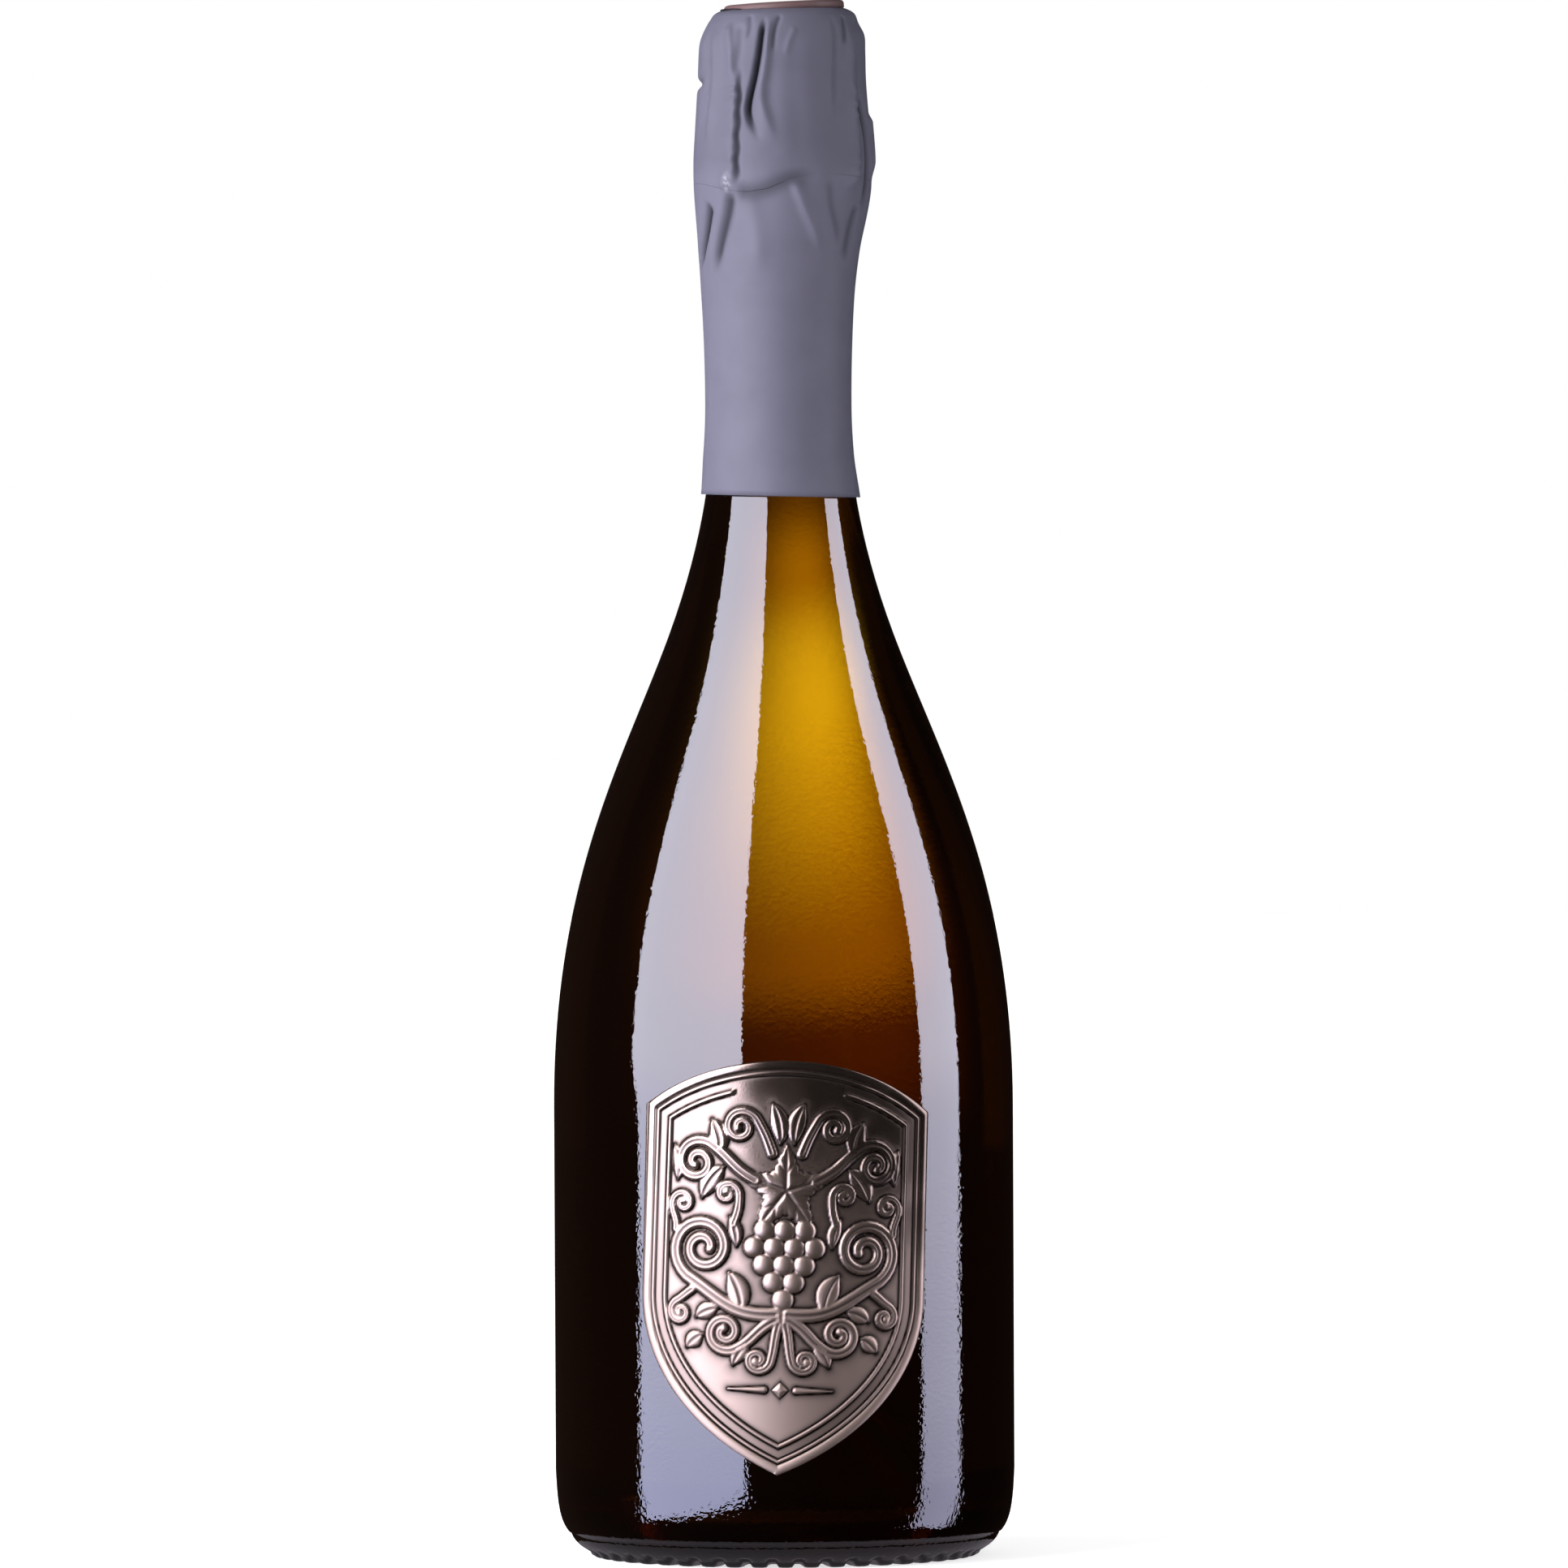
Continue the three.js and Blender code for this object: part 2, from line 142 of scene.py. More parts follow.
# The roundings of the finish, each as four controls and a count: the ring's two edges, then the bead's two
# edges, then the bore's.
FINISH = [
    ((NECK_RADIUS, RING_BOTTOM - 0.5), (NECK_RADIUS + 0.9, RING_BOTTOM - 0.1),
     (RING_RADIUS, RING_BOTTOM), (RING_RADIUS, RING_BOTTOM + 1), 6),
    ((RING_RADIUS, RING_TOP - 2), (RING_RADIUS, RING_TOP - 0.6),
     (RING_RADIUS - 0.8, RING_TOP), (BEAD_RADIUS - 1.2, RING_TOP + 0.9), 7),
    ((BEAD_RADIUS - 1.2, BEAD_BOTTOM - 0.9), (BEAD_RADIUS - 1, BEAD_BOTTOM),
     (BEAD_RADIUS, BEAD_BOTTOM), (BEAD_RADIUS, BEAD_BOTTOM + 1), 5),
    ((BEAD_RADIUS, GLASS_HEIGHT - 3), (BEAD_RADIUS, GLASS_HEIGHT - 0.8),
     (BEAD_RADIUS - 1, GLASS_HEIGHT), (BEAD_RADIUS - 2.6, GLASS_HEIGHT), 7),
    ((BORE_RADIUS + 1.4, GLASS_HEIGHT), (BORE_RADIUS + 0.4, GLASS_HEIGHT),
     (BORE_RADIUS, GLASS_HEIGHT - 0.5), (BORE_RADIUS, GLASS_HEIGHT - 1.4), 5),
]
finish = [at(NECK_RADIUS, RING_BOTTOM - 1.2)]
for rounding in FINISH:
    finish += bend(*rounding)
finish.append(at(BORE_RADIUS, BORE_FOOT))

INNER_RADIUS = BODY_RADIUS - BODY_WALL
inner_wall = bend((0, PUNT_INSIDE), (16, PUNT_INSIDE), (24, 10.8), (FLOOR_RADIUS, FLOOR_HEIGHT), 22)
inner_wall += bend((FLOOR_RADIUS, FLOOR_HEIGHT), (37.5, 9.4), (INNER_RADIUS, 13), (INNER_RADIUS, 21), 12)[1:]
inner_wall += offset(outer_shoulder, np.linspace(BODY_WALL, NECK_WALL, len(outer_shoulder)))
glass_profile = punt + standing_ring + base_plate + heel + wall + outer_shoulder + finish + inner_wall[::-1]


def start_tree(name, sockets, result):
    """Starts a node tree for a shape, and returns it with its inputs' identifiers and their sockets."""
    tree = bpy.data.node_groups.new(name, "GeometryNodeTree")
    identifiers = {}
    for socket_name, socket_type in sockets:
        socket = tree.interface.new_socket(socket_name, in_out="INPUT", socket_type=socket_type)
        identifiers[socket_name] = socket.identifier
    tree.interface.new_socket(result, in_out="OUTPUT", socket_type="NodeSocketGeometry")
    return tree, identifiers, add_node(tree, "NodeGroupInput").outputs


def end_tree(tree, shape, material):
    """Ends a node tree with a smooth, real mesh in its material."""
    smooth = add_node(tree, "GeometryNodeSetShadeSmooth", {"Geometry": shape}).outputs[0]
    whole = add_node(tree, "GeometryNodeRealizeInstances", {"Geometry": smooth}).outputs[0]
    finished = add_node(tree, "GeometryNodeSetMaterial", {"Geometry": whole, "Material": material}).outputs[0]
    add_node(tree, "NodeGroupOutput", {0: finished})


# The tree turns a profile about the axis, and lifts the gaps between the knurls off the standing ring.
turning, turning_inputs, given = start_tree("turned_on_the_axis", (
    ("Profile", "NodeSocketGeometry"), ("Sides", "NodeSocketInt"), ("Knurls", "NodeSocketInt"),
    ("Knurl depth", "NodeSocketFloat"), ("Material", "NodeSocketMaterial"),
), "Piece")
count = add_node(turning, "GeometryNodeAttributeDomainSize", {0: given["Profile"]}).outputs["Point Count"]
columns = add_node(turning, "ShaderNodeMath", {0: given["Sides"], 1: 1.0}, operation="ADD").outputs[0]
sheet = add_node(turning, "GeometryNodeMeshGrid", {"Vertices X": columns, "Vertices Y": count}).outputs[0]
index = add_node(turning, "GeometryNodeInputIndex").outputs[0]
step = add_node(turning, "ShaderNodeMath", {0: index, 1: count}, operation="MODULO").outputs[0]
share = add_node(turning, "ShaderNodeMath", {0: index, 1: count}, operation="DIVIDE").outputs[0]
column = add_node(turning, "ShaderNodeMath", {0: share}, operation="FLOOR").outputs[0]
turn = add_node(turning, "ShaderNodeMath", {0: column, 1: given["Sides"]}, operation="DIVIDE").outputs[0]
angle = add_node(turning, "ShaderNodeMath", {0: turn, 1: 2 * math.pi}, operation="MULTIPLY").outputs[0]
place = add_node(turning, "GeometryNodeInputPosition").outputs[0]
sampler = add_node(turning, "GeometryNodeSampleIndex", data_type="FLOAT_VECTOR")
fill(turning, sampler, {"Geometry": given["Profile"], "Value": place, "Index": step})
point = add_node(turning, "ShaderNodeSeparateXYZ", {0: sampler.outputs[0]}).outputs
sine = add_node(turning, "ShaderNodeMath", {0: angle}, operation="SINE").outputs[0]
cosine = add_node(turning, "ShaderNodeMath", {0: angle}, operation="COSINE").outputs[0]
east = add_node(turning, "ShaderNodeMath", {0: point["X"], 1: sine}, operation="MULTIPLY").outputs[0]
south = add_node(turning, "ShaderNodeMath", {0: point["X"], 1: cosine}, operation="MULTIPLY").outputs[0]
north = add_node(turning, "ShaderNodeMath", {0: south, 1: -1.0}, operation="MULTIPLY").outputs[0]
phase = add_node(turning, "ShaderNodeMath", {0: angle, 1: given["Knurls"]}, operation="MULTIPLY").outputs[0]
wave = add_node(turning, "ShaderNodeMath", {0: phase}, operation="COSINE").outputs[0]
lift = given["Knurl depth"]
for reading, low, high, at_low, at_high in (
    (wave, -0.9, 0.2, 1.0, 0.0),
    (point["X"], (STAND_INNER - 2) * MM, STAND_INNER * MM, 0.0, 1.0),
    (point["Z"], 0.9 * MM, 2.2 * MM, 1.0, 0.0),
):
    part = add_node(
        turning, "ShaderNodeMapRange", {0: reading, 1: low, 2: high, 3: at_low, 4: at_high},
        interpolation_type="SMOOTHSTEP",
    ).outputs[0]
    lift = add_node(turning, "ShaderNodeMath", {0: lift, 1: part}, operation="MULTIPLY").outputs[0]
height = add_node(turning, "ShaderNodeMath", {0: point["Z"], 1: lift}, operation="ADD").outputs[0]
turned = add_node(turning, "ShaderNodeCombineXYZ", {0: east, 1: north, 2: height}).outputs[0]
wrapped = add_node(turning, "GeometryNodeSetPosition", {"Geometry": sheet, "Position": turned}).outputs[0]
closed = add_node(turning, "GeometryNodeMergeByDistance", {"Geometry": wrapped, "Distance": 1e-6}).outputs[0]
end_tree(turning, closed, given["Material"])


def shaped(name, start, tree, inputs):
    """Runs a node tree on a starting mesh or curve, and keeps the result as a plain mesh object."""
    source = bpy.data.objects.new(name + "_start", start)
    bpy.context.scene.collection.objects.link(source)
    modifier = source.modifiers.new("shape", "NODES")
    modifier.node_group = tree
    for identifier, value in inputs.items():
        modifier[identifier] = value
    evaluated = source.evaluated_get(bpy.context.evaluated_depsgraph_get())
    mesh = bpy.data.meshes.new_from_object(evaluated)
    bpy.data.objects.remove(source)
    mesh.name = name
    piece = bpy.data.objects.new(name, mesh)
    bpy.context.scene.collection.objects.link(piece)
    return piece


def turned_piece(name, profile, sides, material, knurls=0, knurl_depth=0.0):
    """A piece turned about the bottle's axis from a profile that runs up its outside."""
    line = bpy.data.meshes.new(name + "_profile")
    line.from_pydata(profile, [(i, i + 1) for i in range(len(profile) - 1)], [])
    return shaped(name, line, turning, {
        turning_inputs["Sides"]: sides,
        turning_inputs["Knurls"]: knurls,
        turning_inputs["Knurl depth"]: knurl_depth * MM,
        turning_inputs["Material"]: material,
    })


# Amber container glass, moulded and fire polished. Iron and sulphur take out the blue and most of the
# green, so a thin wall looks gold and a thick one nearly black. The mould leaves slow waves in the face,
# and a rougher skin low on the heel. A coat of tin oxide, put on hot against scratches, adds to the shine.
WAVE_LENGTH, WAVE_DEPTH = 26 * MM, 0.05 * MM
SKIN_GRAIN, SKIN_DEPTH = 0.8 * MM, 0.07 * MM
amber_glass, tree, shader = new_material("amber_container_glass")
amber = add_node(tree, "ShaderNodeVolumeAbsorption", {"Color": (0.95, 0.835, 0.0, 1), "Density": 430.0})
fill(tree, tree.nodes["Material Output"], {"Volume": amber.outputs[0]})
here = add_node(tree, "ShaderNodeTexCoord").outputs["Object"]
waves = add_node(
    tree, "ShaderNodeTexNoise", {"Vector": here, "Scale": 1 / WAVE_LENGTH, "Detail": 1.0},
).outputs[0]
skin = add_node(
    tree, "ShaderNodeTexNoise", {"Vector": here, "Scale": 1 / SKIN_GRAIN, "Detail": 1.0},
).outputs[0]
up = add_node(tree, "ShaderNodeSeparateXYZ", {0: here}).outputs["Z"]
# The skin is roughest at the heel, smoother on the body, and smoothest on the shoulder and the neck.
for low, high, above in ((7, 20, 0.4), (60, 110, 0.35)):
    smoother = add_node(
        tree, "ShaderNodeMapRange", {0: up, 1: low * MM, 2: high * MM, 3: 1.0, 4: above},
        interpolation_type="SMOOTHSTEP",
    ).outputs[0]
    skin = add_node(tree, "ShaderNodeMath", {0: skin, 1: smoother}, operation="MULTIPLY").outputs[0]
slow = add_node(tree, "ShaderNodeBump", {"Height": waves, "Distance": WAVE_DEPTH, "Strength": 1.0}).outputs[0]
face = add_node(
    tree, "ShaderNodeBump", {"Height": skin, "Normal": slow, "Distance": SKIN_DEPTH, "Strength": 1.0},
).outputs[0]
fill(tree, shader, {
    "Base Color": (1, 1, 1, 1), "Transmission Weight": 1.0, "Roughness": 0.0, "IOR": 1.52, "Normal": face,
    "Coat Weight": 1.0, "Coat IOR": 1.9, "Coat Roughness": 0.0, "Coat Normal": face,
})

glass_sides = KNURLS * SIDES_PER_KNURL
glass = turned_piece("amber_bottle", glass_profile, glass_sides, amber_glass, KNURLS, KNURL_DEPTH)
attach(glass, "bottle")
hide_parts("glass_bottle")

# Wine
# Pale gold sparkling wine, filled to a little below the foil's edge. Its skin lies just inside the glass
# wall's own skin, so that no air is left between them.
_, wine_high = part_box("wine")
FILL_HEIGHT = wine_high.z / MM
WETTING = 0.15
ROUND_SIDES = 96
white_wine, tree, shader = new_material("pale_gold_wine")
tint = add_node(tree, "ShaderNodeVolumeAbsorption", {"Color": (0.95, 0.82, 0.2, 1), "Density": 14.0})
fill(tree, tree.nodes["Material Output"], {"Volume": tint.outputs[0]})
fill(tree, shader, {"Base Color": (1, 1, 1, 1), "Transmission Weight": 1.0, "Roughness": 0.0, "IOR": 1.345})

wetted = offset(inner_wall, [-WETTING] * len(inner_wall))
wetted[0].x = 0
below = [p for p in wetted if p.z < (FILL_HEIGHT - 0.6) * MM]
shore = below[-1].x / MM
meniscus = bend(
    (shore, FILL_HEIGHT + 0.9), (shore - 0.4, FILL_HEIGHT + 0.1), (shore - 1.6, FILL_HEIGHT),
    (shore - 3, FILL_HEIGHT), 6,
)
wine = turned_piece("still_wine", below + meniscus + [at(0, FILL_HEIGHT)], ROUND_SIDES, white_wine)
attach(wine, "bottle")
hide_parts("wine")

# Label adhesive
# A milky pressure-sensitive film behind the metal label, seen only through the glass from behind.
glue_film, tree, shader = new_material("pressure_sensitive_film")
here = add_node(tree, "ShaderNodeTexCoord").outputs["Object"]
blotch = add_node(
    tree, "ShaderNodeTexNoise", {"Vector": here, "Scale": 1 / (5 * MM), "Detail": 3.0},
).outputs[0]
milky = add_node(
    tree, "ShaderNodeMix", {0: blotch, 6: linear("#57544d"), 7: linear("#6a675f")}, data_type="RGBA",
).outputs[2]
fill(tree, shader, {"Base Color": milky, "Roughness": 0.6})
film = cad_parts["label_adhesive"]
film.data.materials.clear()
film.data.materials.append(glue_film)

# Front label
# A shield struck in pewter sheet, bent round the body and stuck on a little askew. Its relief is a vine
# with a bunch of grapes inside beaded borders. The recesses keep a dark patina, and the fields are polished.
LABEL_RADIUS = 47.6 * MM
LABEL_TIP = 19.4 * MM
LABEL_TILT = math.radians(2.0)
LABEL_SHIFT = 0.35
HALF_WIDTH, SIDE_FOOT, CORNER, APEX = 30.0, 36.0, 73.9, 83.8
TIP_X, TIP_Y, SIDE_HANDLE = 15, 6.5, 16
PLATE_SHEET, RELIEF_PITCH, BACK_COLUMNS = 0.5, 0.28, 12
SHOOT_RELIEF, LEAF_RELIEF, BERRY_RELIEF, BAR_RELIEF = 0.66, 0.54, 0.9, 0.5
SHADOW, BAR_SHADOW = 0.9, 0.6
SEARCH = 6

# The shield is drawn flat, in millimetres, with its tip at the origin.
arch_rise = APEX - CORNER
arch_radius = (HALF_WIDTH ** 2 + arch_rise ** 2) / (2 * arch_rise)
up_lower = np.linspace(0, 1, int(SIDE_FOOT * 1.25 / RELIEF_PITCH))
up_upper = np.linspace(0, 1, int((APEX - SIDE_FOOT) / RELIEF_PITCH))[1:]
across = np.linspace(-1, 1, int(2 * HALF_WIDTH / RELIEF_PITCH))
by_tip = 3 * (1 - up_lower) ** 2 * up_lower
by_side = 3 * (1 - up_lower) * up_lower ** 2
edge_x = by_tip * TIP_X + (by_side + up_lower ** 3) * HALF_WIDTH
edge_y = by_tip * TIP_Y + by_side * (SIDE_FOOT - SIDE_HANDLE) + up_lower ** 3 * SIDE_FOOT
arch = APEX - arch_radius + np.sqrt(arch_radius ** 2 - (HALF_WIDTH * across) ** 2)
flat_x = np.vstack([np.outer(edge_x, across), np.tile(HALF_WIDTH * across, (len(up_upper), 1))])
flat_y = np.vstack([
    np.tile(edge_y[:, None], (1, len(across))),
    SIDE_FOOT + np.outer(up_upper, arch - SIDE_FOOT),
])
rows, cols = flat_x.shape
field = np.column_stack([flat_x.ravel(), flat_y.ravel()])


def nearest_on(path, points, reach=1e6):
    """Distance of each point to a path, the side it lies on, and the share of the path's length there."""
    path = np.asarray(path, float)
    best = np.full(len(points), 1e6)
    side = np.zeros(len(points))
    share = np.zeros(len(points))
    near = np.all((points > path.min(0) - reach) & (points < path.max(0) + reach), axis=1)
    if not near.all():
        best[near], side[near], share[near] = nearest_on(path, points[near])
        return best, side, share
    lengths = np.hypot(*np.diff(path, axis=0).T)
    passed = np.concatenate([[0], np.cumsum(lengths)]) / lengths.sum()
    for i in range(len(path) - 1):
        span = path[i + 1] - path[i]
        t = np.clip(((points - path[i]) @ span) / (span @ span), 0, 1)
        gap = points - path[i] - t[:, None] * span
        away = np.hypot(gap[:, 0], gap[:, 1])
        closer = away < best
        best[closer] = away[closer]
        side[closer] = np.sign(span[0] * gap[closer, 1] - span[1] * gap[closer, 0])
        share[closer] = (passed[i] + t * (passed[i + 1] - passed[i]))[closer]
    return best, side, share


def ease(low, high, value):
    """A smooth step from 0 at low to 1 at high."""
    t = np.clip((value - low) / (high - low), 0, 1)
    return t * t * (3 - 2 * t)


def bead(away, half_width):
    """The height of a rounded bead across its width, 1 on its crest and 0 at its foot."""
    return np.sqrt(np.clip(1 - (away / half_width) ** 2, 0, 1))


outline = np.vstack([
    np.column_stack([edge_x, edge_y])[::4],
    np.column_stack([flat_x[-1, ::-4], flat_y[-1, ::-4]]),
    np.column_stack([-edge_x, edge_y])[::-4],
])
inset, _, _ = nearest_on(outline, field)
relief = np.zeros(len(field))
open_top = np.clip(ease(10.6, 11.6, np.abs(field[:, 0])) + ease(70, 66, field[:, 1]), 0, 1)
patina = 0.3 * ease(2.8, 3.2, inset) * ease(5.1, 4.7, inset) * open_top


def strike(height, beyond_foot, shadow, engraved=0.0):
    """Raises a shape on the plate, and darkens the plate round its foot and along its engraved lines."""
    over = height > relief
    outside = np.clip(beyond_foot - 0.22, 0, None)
    haze = 0.6 * np.exp(-outside / (0.35 * shadow)) + 0.4 * np.exp(-(outside / (1.5 * shadow)) ** 1.5)
    foot = np.clip(haze, 0, 1) * ease(-0.3, 0.0, beyond_foot)
    below = np.maximum(patina, foot * ease(0.3, 0.08, relief))
    patina[:] = np.where(over, np.maximum(foot, engraved), below)
    relief[:] = np.maximum(relief, height)


# Three borders follow the edge: a rolled rim, a fine bead, and an inner bead that is open at the top. Each
# has its distance from the edge, half width, height and shadow.
BORDERS = [(0.9, 1.05, 0.45, 0.3, 1.0), (2.5, 0.42, 0.34, 0.3, 1.0), (5.3, 0.48, 0.42, 0.4, open_top)]
for inwards, half, height, shadow, shown in BORDERS:
    away = np.abs(inset - inwards)
    strike(height * bead(away, half) * shown, away - half + 9 * (1 - shown), shadow)


def scroll(root, heading, eye, radius, entry, turns, hand):
    """A vine shoot that leaves its root, swings out and winds in round its eye as a spiral."""
    eye = np.array(eye, float)
    steps = np.linspace(0, 1, int(26 * turns))
    angles = math.radians(entry) + hand * 2 * math.pi * turns * steps
    radii = radius * (1 - 0.8 * steps ** 0.85)
    spiral = eye + radii[:, None] * np.column_stack([np.cos(angles), np.sin(angles)])
    onward = hand * np.array([-math.sin(math.radians(entry)), math.cos(math.radians(entry))])
    reach = np.linalg.norm(spiral[0] - root) * 0.45
    first = Vector((*root, 0))
    lean = Vector((math.cos(math.radians(heading)), math.sin(math.radians(heading)), 0)) * float(reach)
    last = Vector((*spiral[0], 0))
    run = interpolate_bezier(first, first + lean, last - Vector((*onward, 0)) * float(reach), last, 18)
    return np.vstack([[p.xy for p in run[:-1]], spiral])


# Shoots of the right half, as root, heading, eye, radius, entry, turns, hand, and width at the root.
SHOOTS = [
    ((1.2, 32.5), -5, (16.4, 45.5), 6.8, -60, 1.7, 1, 1.5),
    ((6.0, 59.5), 25, (18.2, 62.8), 4.6, 120, 1.5, -1, 1.3),
    ((3.0, 65.0), 70, (9.4, 70.2), 3.6, 150, 1.5, -1, 1.1),
    ((1.0, 31.5), -25, (11.4, 28.6), 4.0, -115, 1.5, 1, 1.25),
    ((18.6, 37.0), -35, (21.0, 32.2), 2.5, 60, 1.3, -1, 0.95),
    ((22.4, 49.0), 95, (21.0, 54.4), 2.4, 10, 1.3, 1, 0.9),
    ((0.7, 30.5), -75, (4.7, 23.2), 2.6, -165, 1.35, 1, 1.05),
    ((10.4, 50.5), 110, (11.8, 56.6), 2.5, 180, 1.3, -1, 0.95),
]
SHOOT_END = 0.9
for hand_side in (1, -1):
    for root, heading, eye, radius, entry, turns, hand, width in SHOOTS:
        shoot = scroll(root, heading, eye, radius, entry, turns, hand) * (hand_side, 1)
        away, _, along = nearest_on(shoot, field, SEARCH)
        half = width * (1.0 - 0.35 * along)
        groove = np.exp(-(away / (0.24 * half)) ** 2)
        strike(SHOOT_RELIEF * bead(away, half) * (1 - 0.4 * groove), away - half, SHADOW, 0.75 * groove)
        end = np.hypot(*(field - shoot[-1]).T)
        strike(SHOOT_RELIEF * bead(end, SHOOT_END), end - SHOOT_END, SHADOW)

# Leaves lie along the shoots: each is a lens round a curved midrib, with a groove down the middle.
LEAVES = [
    ((8.2, 33.0), (11.0, 40.6), 2.3), ((13.0, 33.4), (17.6, 31.4), 1.7), ((12.6, 62.0), (17.0, 55.6), 2.1),
    ((13.4, 64.8), (15.4, 71.4), 2.0), ((1.4, 67.0), (3.2, 75.0), 1.8), ((16.0, 28.0), (19.4, 25.2), 1.7),
    ((6.4, 26.6), (9.6, 22.0), 1.6), ((22.4, 59.0), (23.2, 66.0), 1.5), ((9.6, 46.0), (11.2, 52.0), 1.4),
]
for hand_side in (1, -1):
    for root, tip, width in LEAVES:
        root, tip = np.array(root), np.array(tip)
        sway = np.array([root[1] - tip[1], tip[0] - root[0]]) * 0.16
        rib = np.array([(1 - t) ** 2 * root + 2 * t * (1 - t) * ((root + tip) / 2 + sway) + t * t * tip
                        for t in np.linspace(0, 1, 12)]) * (hand_side, 1)
        away, _, along = nearest_on(rib, field, SEARCH)
        half = width * np.sin(math.pi * np.clip(along, 0.02, 0.98)) ** 0.7
        groove = np.exp(-(away / 0.26) ** 2)
        strike(LEAF_RELIEF * bead(away, half) * (1 - 0.5 * groove), away - half, SHADOW, 0.8 * groove)

# The vine leaf over the bunch has five toothed lobes, with a vein cut into each.
LEAF_EYE = np.array([0.0, 57.5])
VEIN_LENGTH, VEIN_DEPTH, FORK = 8.6, 0.22, 3.4
from_leaf = field - LEAF_EYE
reach = np.hypot(*from_leaf.T)
compass = np.arctan2(from_leaf[:, 0], from_leaf[:, 1])
teeth = np.abs((compass * 15 / math.pi) % 1 - 0.5)
lobes = 4.6 + 4.6 * (1 - np.abs(np.sin(2.5 * compass)) ** 0.9) + 0.9 * teeth
leaf = 0.5 * bead(reach, lobes) ** 0.6 + 0.16 * np.abs(np.sin(2.5 * compass)) * bead(reach, lobes)
veins = np.zeros(len(field))
for vein_angle in np.radians([0, 72, 144, 216, 288]):
    vein = np.array([math.sin(vein_angle), math.cos(vein_angle)])
    away, _, along = nearest_on([LEAF_EYE, LEAF_EYE + VEIN_LENGTH * vein], field, SEARCH)
    fork = LEAF_EYE + FORK * vein
    veins = np.maximum(veins, np.exp(-(away / (0.36 - 0.16 * along)) ** 2))
    for side in (1, -1):
        branch = 2.3 * vein + side * 1.6 * np.array([vein[1], -vein[0]])
        away, _, _ = nearest_on([fork, fork + branch], field, SEARCH)
        veins = np.maximum(veins, 0.7 * np.exp(-(away / 0.2) ** 2))
strike(leaf - VEIN_DEPTH * veins * (reach < lobes), reach - lobes, SHADOW, 0.8 * veins)

# The bunch hangs under the leaf, berry by berry, in rows of 3, 4, 3, 2 and 1.
BERRY, BERRY_PITCH, ROW_DROP, BUNCH_TOP = 2.2, 4.05, 3.5, 49.5
for row_number, berries in enumerate((3, 4, 3, 2, 1)):
    for berry in range(berries):
        middle = np.array([(berry - (berries - 1) / 2) * BERRY_PITCH, BUNCH_TOP - ROW_DROP * row_number])
        away = np.hypot(*(field - middle).T)
        strike(BERRY_RELIEF * bead(away, BERRY), away - BERRY, SHADOW)

# Under the vine, where a label says what is inside, stand two bare bars and a lozenge.
BAR_HEIGHT, BAR_START, BAR_END, BAR_HALF, LOZENGE = 17.2, 3.2, 10.5, 0.75, 1.7
for hand_side in (1, -1):
    bar = np.array([(BAR_START, BAR_HEIGHT), (BAR_END, BAR_HEIGHT)]) * (hand_side, 1)
    away, _, along = nearest_on(bar, field, SEARCH)
    half = BAR_HALF * (1 - 0.7 * along)
    strike(BAR_RELIEF * bead(away, half), away - half, BAR_SHADOW)
lozenge = np.abs(field[:, 0]) + np.abs(field[:, 1] - BAR_HEIGHT)
strike(BAR_RELIEF * np.clip(LOZENGE - lozenge, 0, 1), lozenge - LOZENGE, BAR_SHADOW)


def round_the_body(x, y, radius):
    """Lays flat label points round the bottle, turned by the label's tilt about its middle."""
    middle = (SIDE_FOOT + CORNER) / 2
    turned_x = x * math.cos(LABEL_TILT) + (y - middle) * math.sin(LABEL_TILT) + LABEL_SHIFT
    turned_y = (y - middle) * math.cos(LABEL_TILT) - x * math.sin(LABEL_TILT) + middle
    bearing = turned_x * MM / LABEL_RADIUS
    return np.column_stack([radius * np.sin(bearing), -radius * np.cos(bearing), turned_y * MM + LABEL_TIP])


front = round_the_body(field[:, 0], field[:, 1], LABEL_RADIUS + (PLATE_SHEET + relief) * MM)
back_step = (cols - 1) // BACK_COLUMNS
back_columns = list(range(0, cols - 1, back_step))[:BACK_COLUMNS] + [cols - 1]
back_index = [row * cols + column for row in range(rows) for column in back_columns]
back = round_the_body(field[back_index, 0], field[back_index, 1], np.full(len(back_index), LABEL_RADIUS))
faces = []
for row in range(rows - 1):
    for column in range(cols - 1):
        corner = row * cols + column
        faces.append((corner, corner + 1, corner + cols + 1, corner + cols))
first_back = rows * cols
wide = len(back_columns)
for row in range(rows - 1):
    for column in range(wide - 1):
        corner = first_back + row * wide + column
        faces.append((corner, corner + wide, corner + wide + 1, corner + 1))
    left, right = row * cols, row * cols + cols - 1
    left_back, right_back = first_back + row * wide, first_back + row * wide + wide - 1
    faces.append((left, left + cols, left_back + wide, left_back))
    faces.append((right, right_back, right_back + wide, right + cols))
for row in (0, rows - 1):
    for column in range(wide - 1):
        run = [row * cols + k for k in range(back_columns[column], back_columns[column + 1] + 1)]
        under = [first_back + row * wide + column + 1, first_back + row * wide + column]
        loop = run + under
        faces.append(tuple(loop if row else loop[::-1]))
label_mesh = bpy.data.meshes.new("pewter_shield")
label_mesh.from_pydata(np.vstack([front, back]).tolist(), [], faces)
dark = label_mesh.attributes.new("patina", "FLOAT", "POINT")
dark.data.foreach_set("value", np.concatenate([patina, np.zeros(len(back))]).astype(np.float32))
label_mesh.polygons.foreach_set("use_smooth", [True] * len(label_mesh.polygons))
label_mesh.validate()

